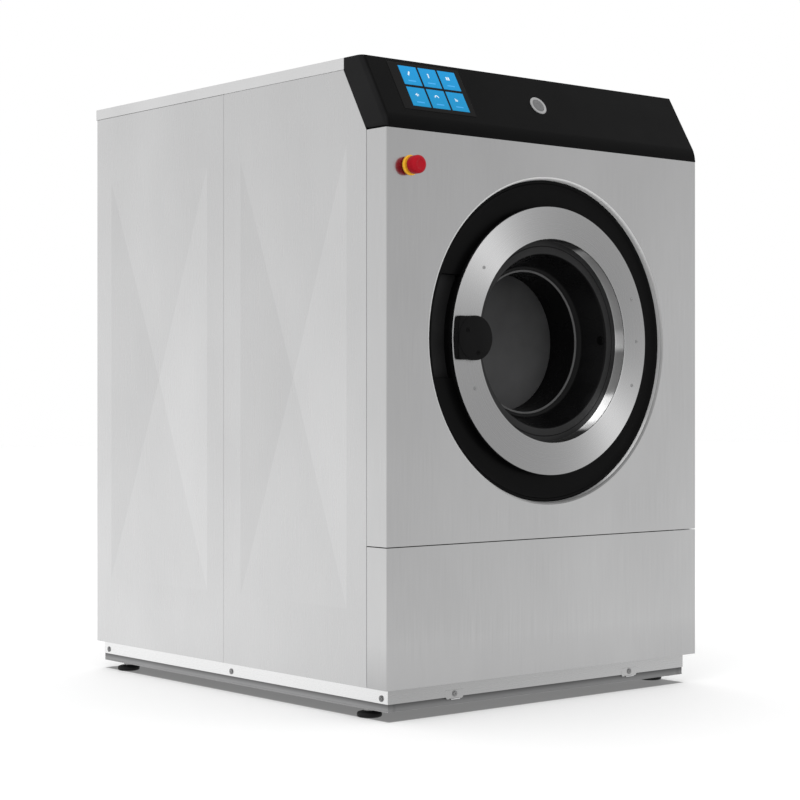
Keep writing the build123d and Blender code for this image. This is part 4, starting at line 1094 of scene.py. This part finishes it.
def buildFloor():
    clearSelection()
    bpy.ops.mesh.primitive_plane_add(size=40, location=(0, 0, 0))
    floor = bpy.context.object
    floor.name = "studio_floor"
    pale, dark = (studio["floor"],) * 3, (studio["shade"],) * 3
    mat, tree, shader = newFinish("floorWhite", pale, 0.0, 0.7, 0.2)
    # painted shadow: the floor under the rails is darkened, as the gap there is deep in shade
    axes = axesOf(tree, coordinates(tree))
    across = spread(tree, mathNode(tree, "ABSOLUTE", axes["X"]), 1, 0, 0.421, 0.429)
    along = spread(tree, mathNode(tree, "ABSOLUTE", axes["Y"]), 1, 0, 0.515, 0.523)
    under = tint(tree, mathNode(tree, "MULTIPLY", across, along), pale, dark)
    feed(shader, {"Base Color": under})
    path = addNode(tree, "LightPath").node.outputs
    strength = mathNode(tree, "MULTIPLY", path["Is Camera Ray"], studio["floorLift"])
    lift = addNode(tree, "Emission", {"Strength": strength})
    lifted = addNode(tree, "AddShader", {0: shader.outputs[0], 1: lift})
    mirrored = addNode(tree, "Emission", {"Strength": mirroredLight(tree, "Object", studio["floorReach"])})
    mixed = mixShader(tree, path["Is Glossy Ray"], lifted, mirrored)
    feed(tree.nodes["Material Output"], {"Surface": mixed})
    floor.data.materials.append(mat)


# each light's place, target, size and power
softLights = {
    "keyLight": ((-3.4, -2.4, 3.6), (0, 0, 0.6), 2.6, 34),
    "fillLight": ((2.6, -4.2, 2.2), (0, 0, 0.7), 2.2, 9),
    "topLight": ((0.3, 1.2, 4.2), (0, 0, 1.0), 3.0, 22),
}
throatBeam = {"target": (0.166, -0.53, 0.597), "toward": (-0.611, -0.56, 0.56), "distance": 2.0, "power": 120,
              "cone": 2.9}


def setUp(data, at, turn):
    thing = bpy.data.objects.new(data.name, data)
    bpy.context.scene.collection.objects.link(thing)
    thing.location = at
    thing.rotation_euler = turn
    return thing


def hangLamp(data, at, facing):
    lamp = setUp(data, at, facing.to_track_quat("-Z", "Y").to_euler())
    lamp.visible_glossy = False  # no hot spots in the sheet metal


def buildLights():
    for name, (at, target, size, power) in softLights.items():
        data = bpy.data.lights.new(name, "AREA")
        data.shape = "DISK"
        data.size = size
        data.energy = power
        hangLamp(data, at, Vector(target) - Vector(at))
    # a narrow beam on the throat's lower right, where the photo has its white glint
    beam = throatBeam
    data = bpy.data.lights.new("throatBeam", "SPOT")
    data.energy = beam["power"]
    data.spot_size = math.radians(beam["cone"])
    data.spot_blend = 0.4
    data.shadow_soft_size = 0.01
    toward = Vector(beam["toward"])
    hangLamp(data, Vector(beam["target"]) + toward * beam["distance"], -toward)


camera = {"lens": 88.68, "at": (-2.8671, -3.4541, 0.6254), "turn": -40.088}


def buildStudio():
    buildWorld()
    buildFloor()
    buildLights()
    data = bpy.data.cameras.new("photoCamera")
    data.lens = camera["lens"]
    data.sensor_width = 36
    data.clip_end = 60
    turn = (math.pi / 2, 0, math.radians(camera["turn"]))
    bpy.context.scene.camera = setUp(data, camera["at"], turn)
    bpy.context.scene.view_settings.view_transform = "Standard"


for build in (buildCabinet, buildFeet, buildBaseScrews, buildConsole, buildScreen, buildStart, buildStop,
              buildSurround, buildRing, buildBowl, buildHandle, buildDoorBack, buildGasket, buildDrum,
              buildRear, finishRest, buildStudio):
    build()
    print(build.__name__, "done")
clearSelection()
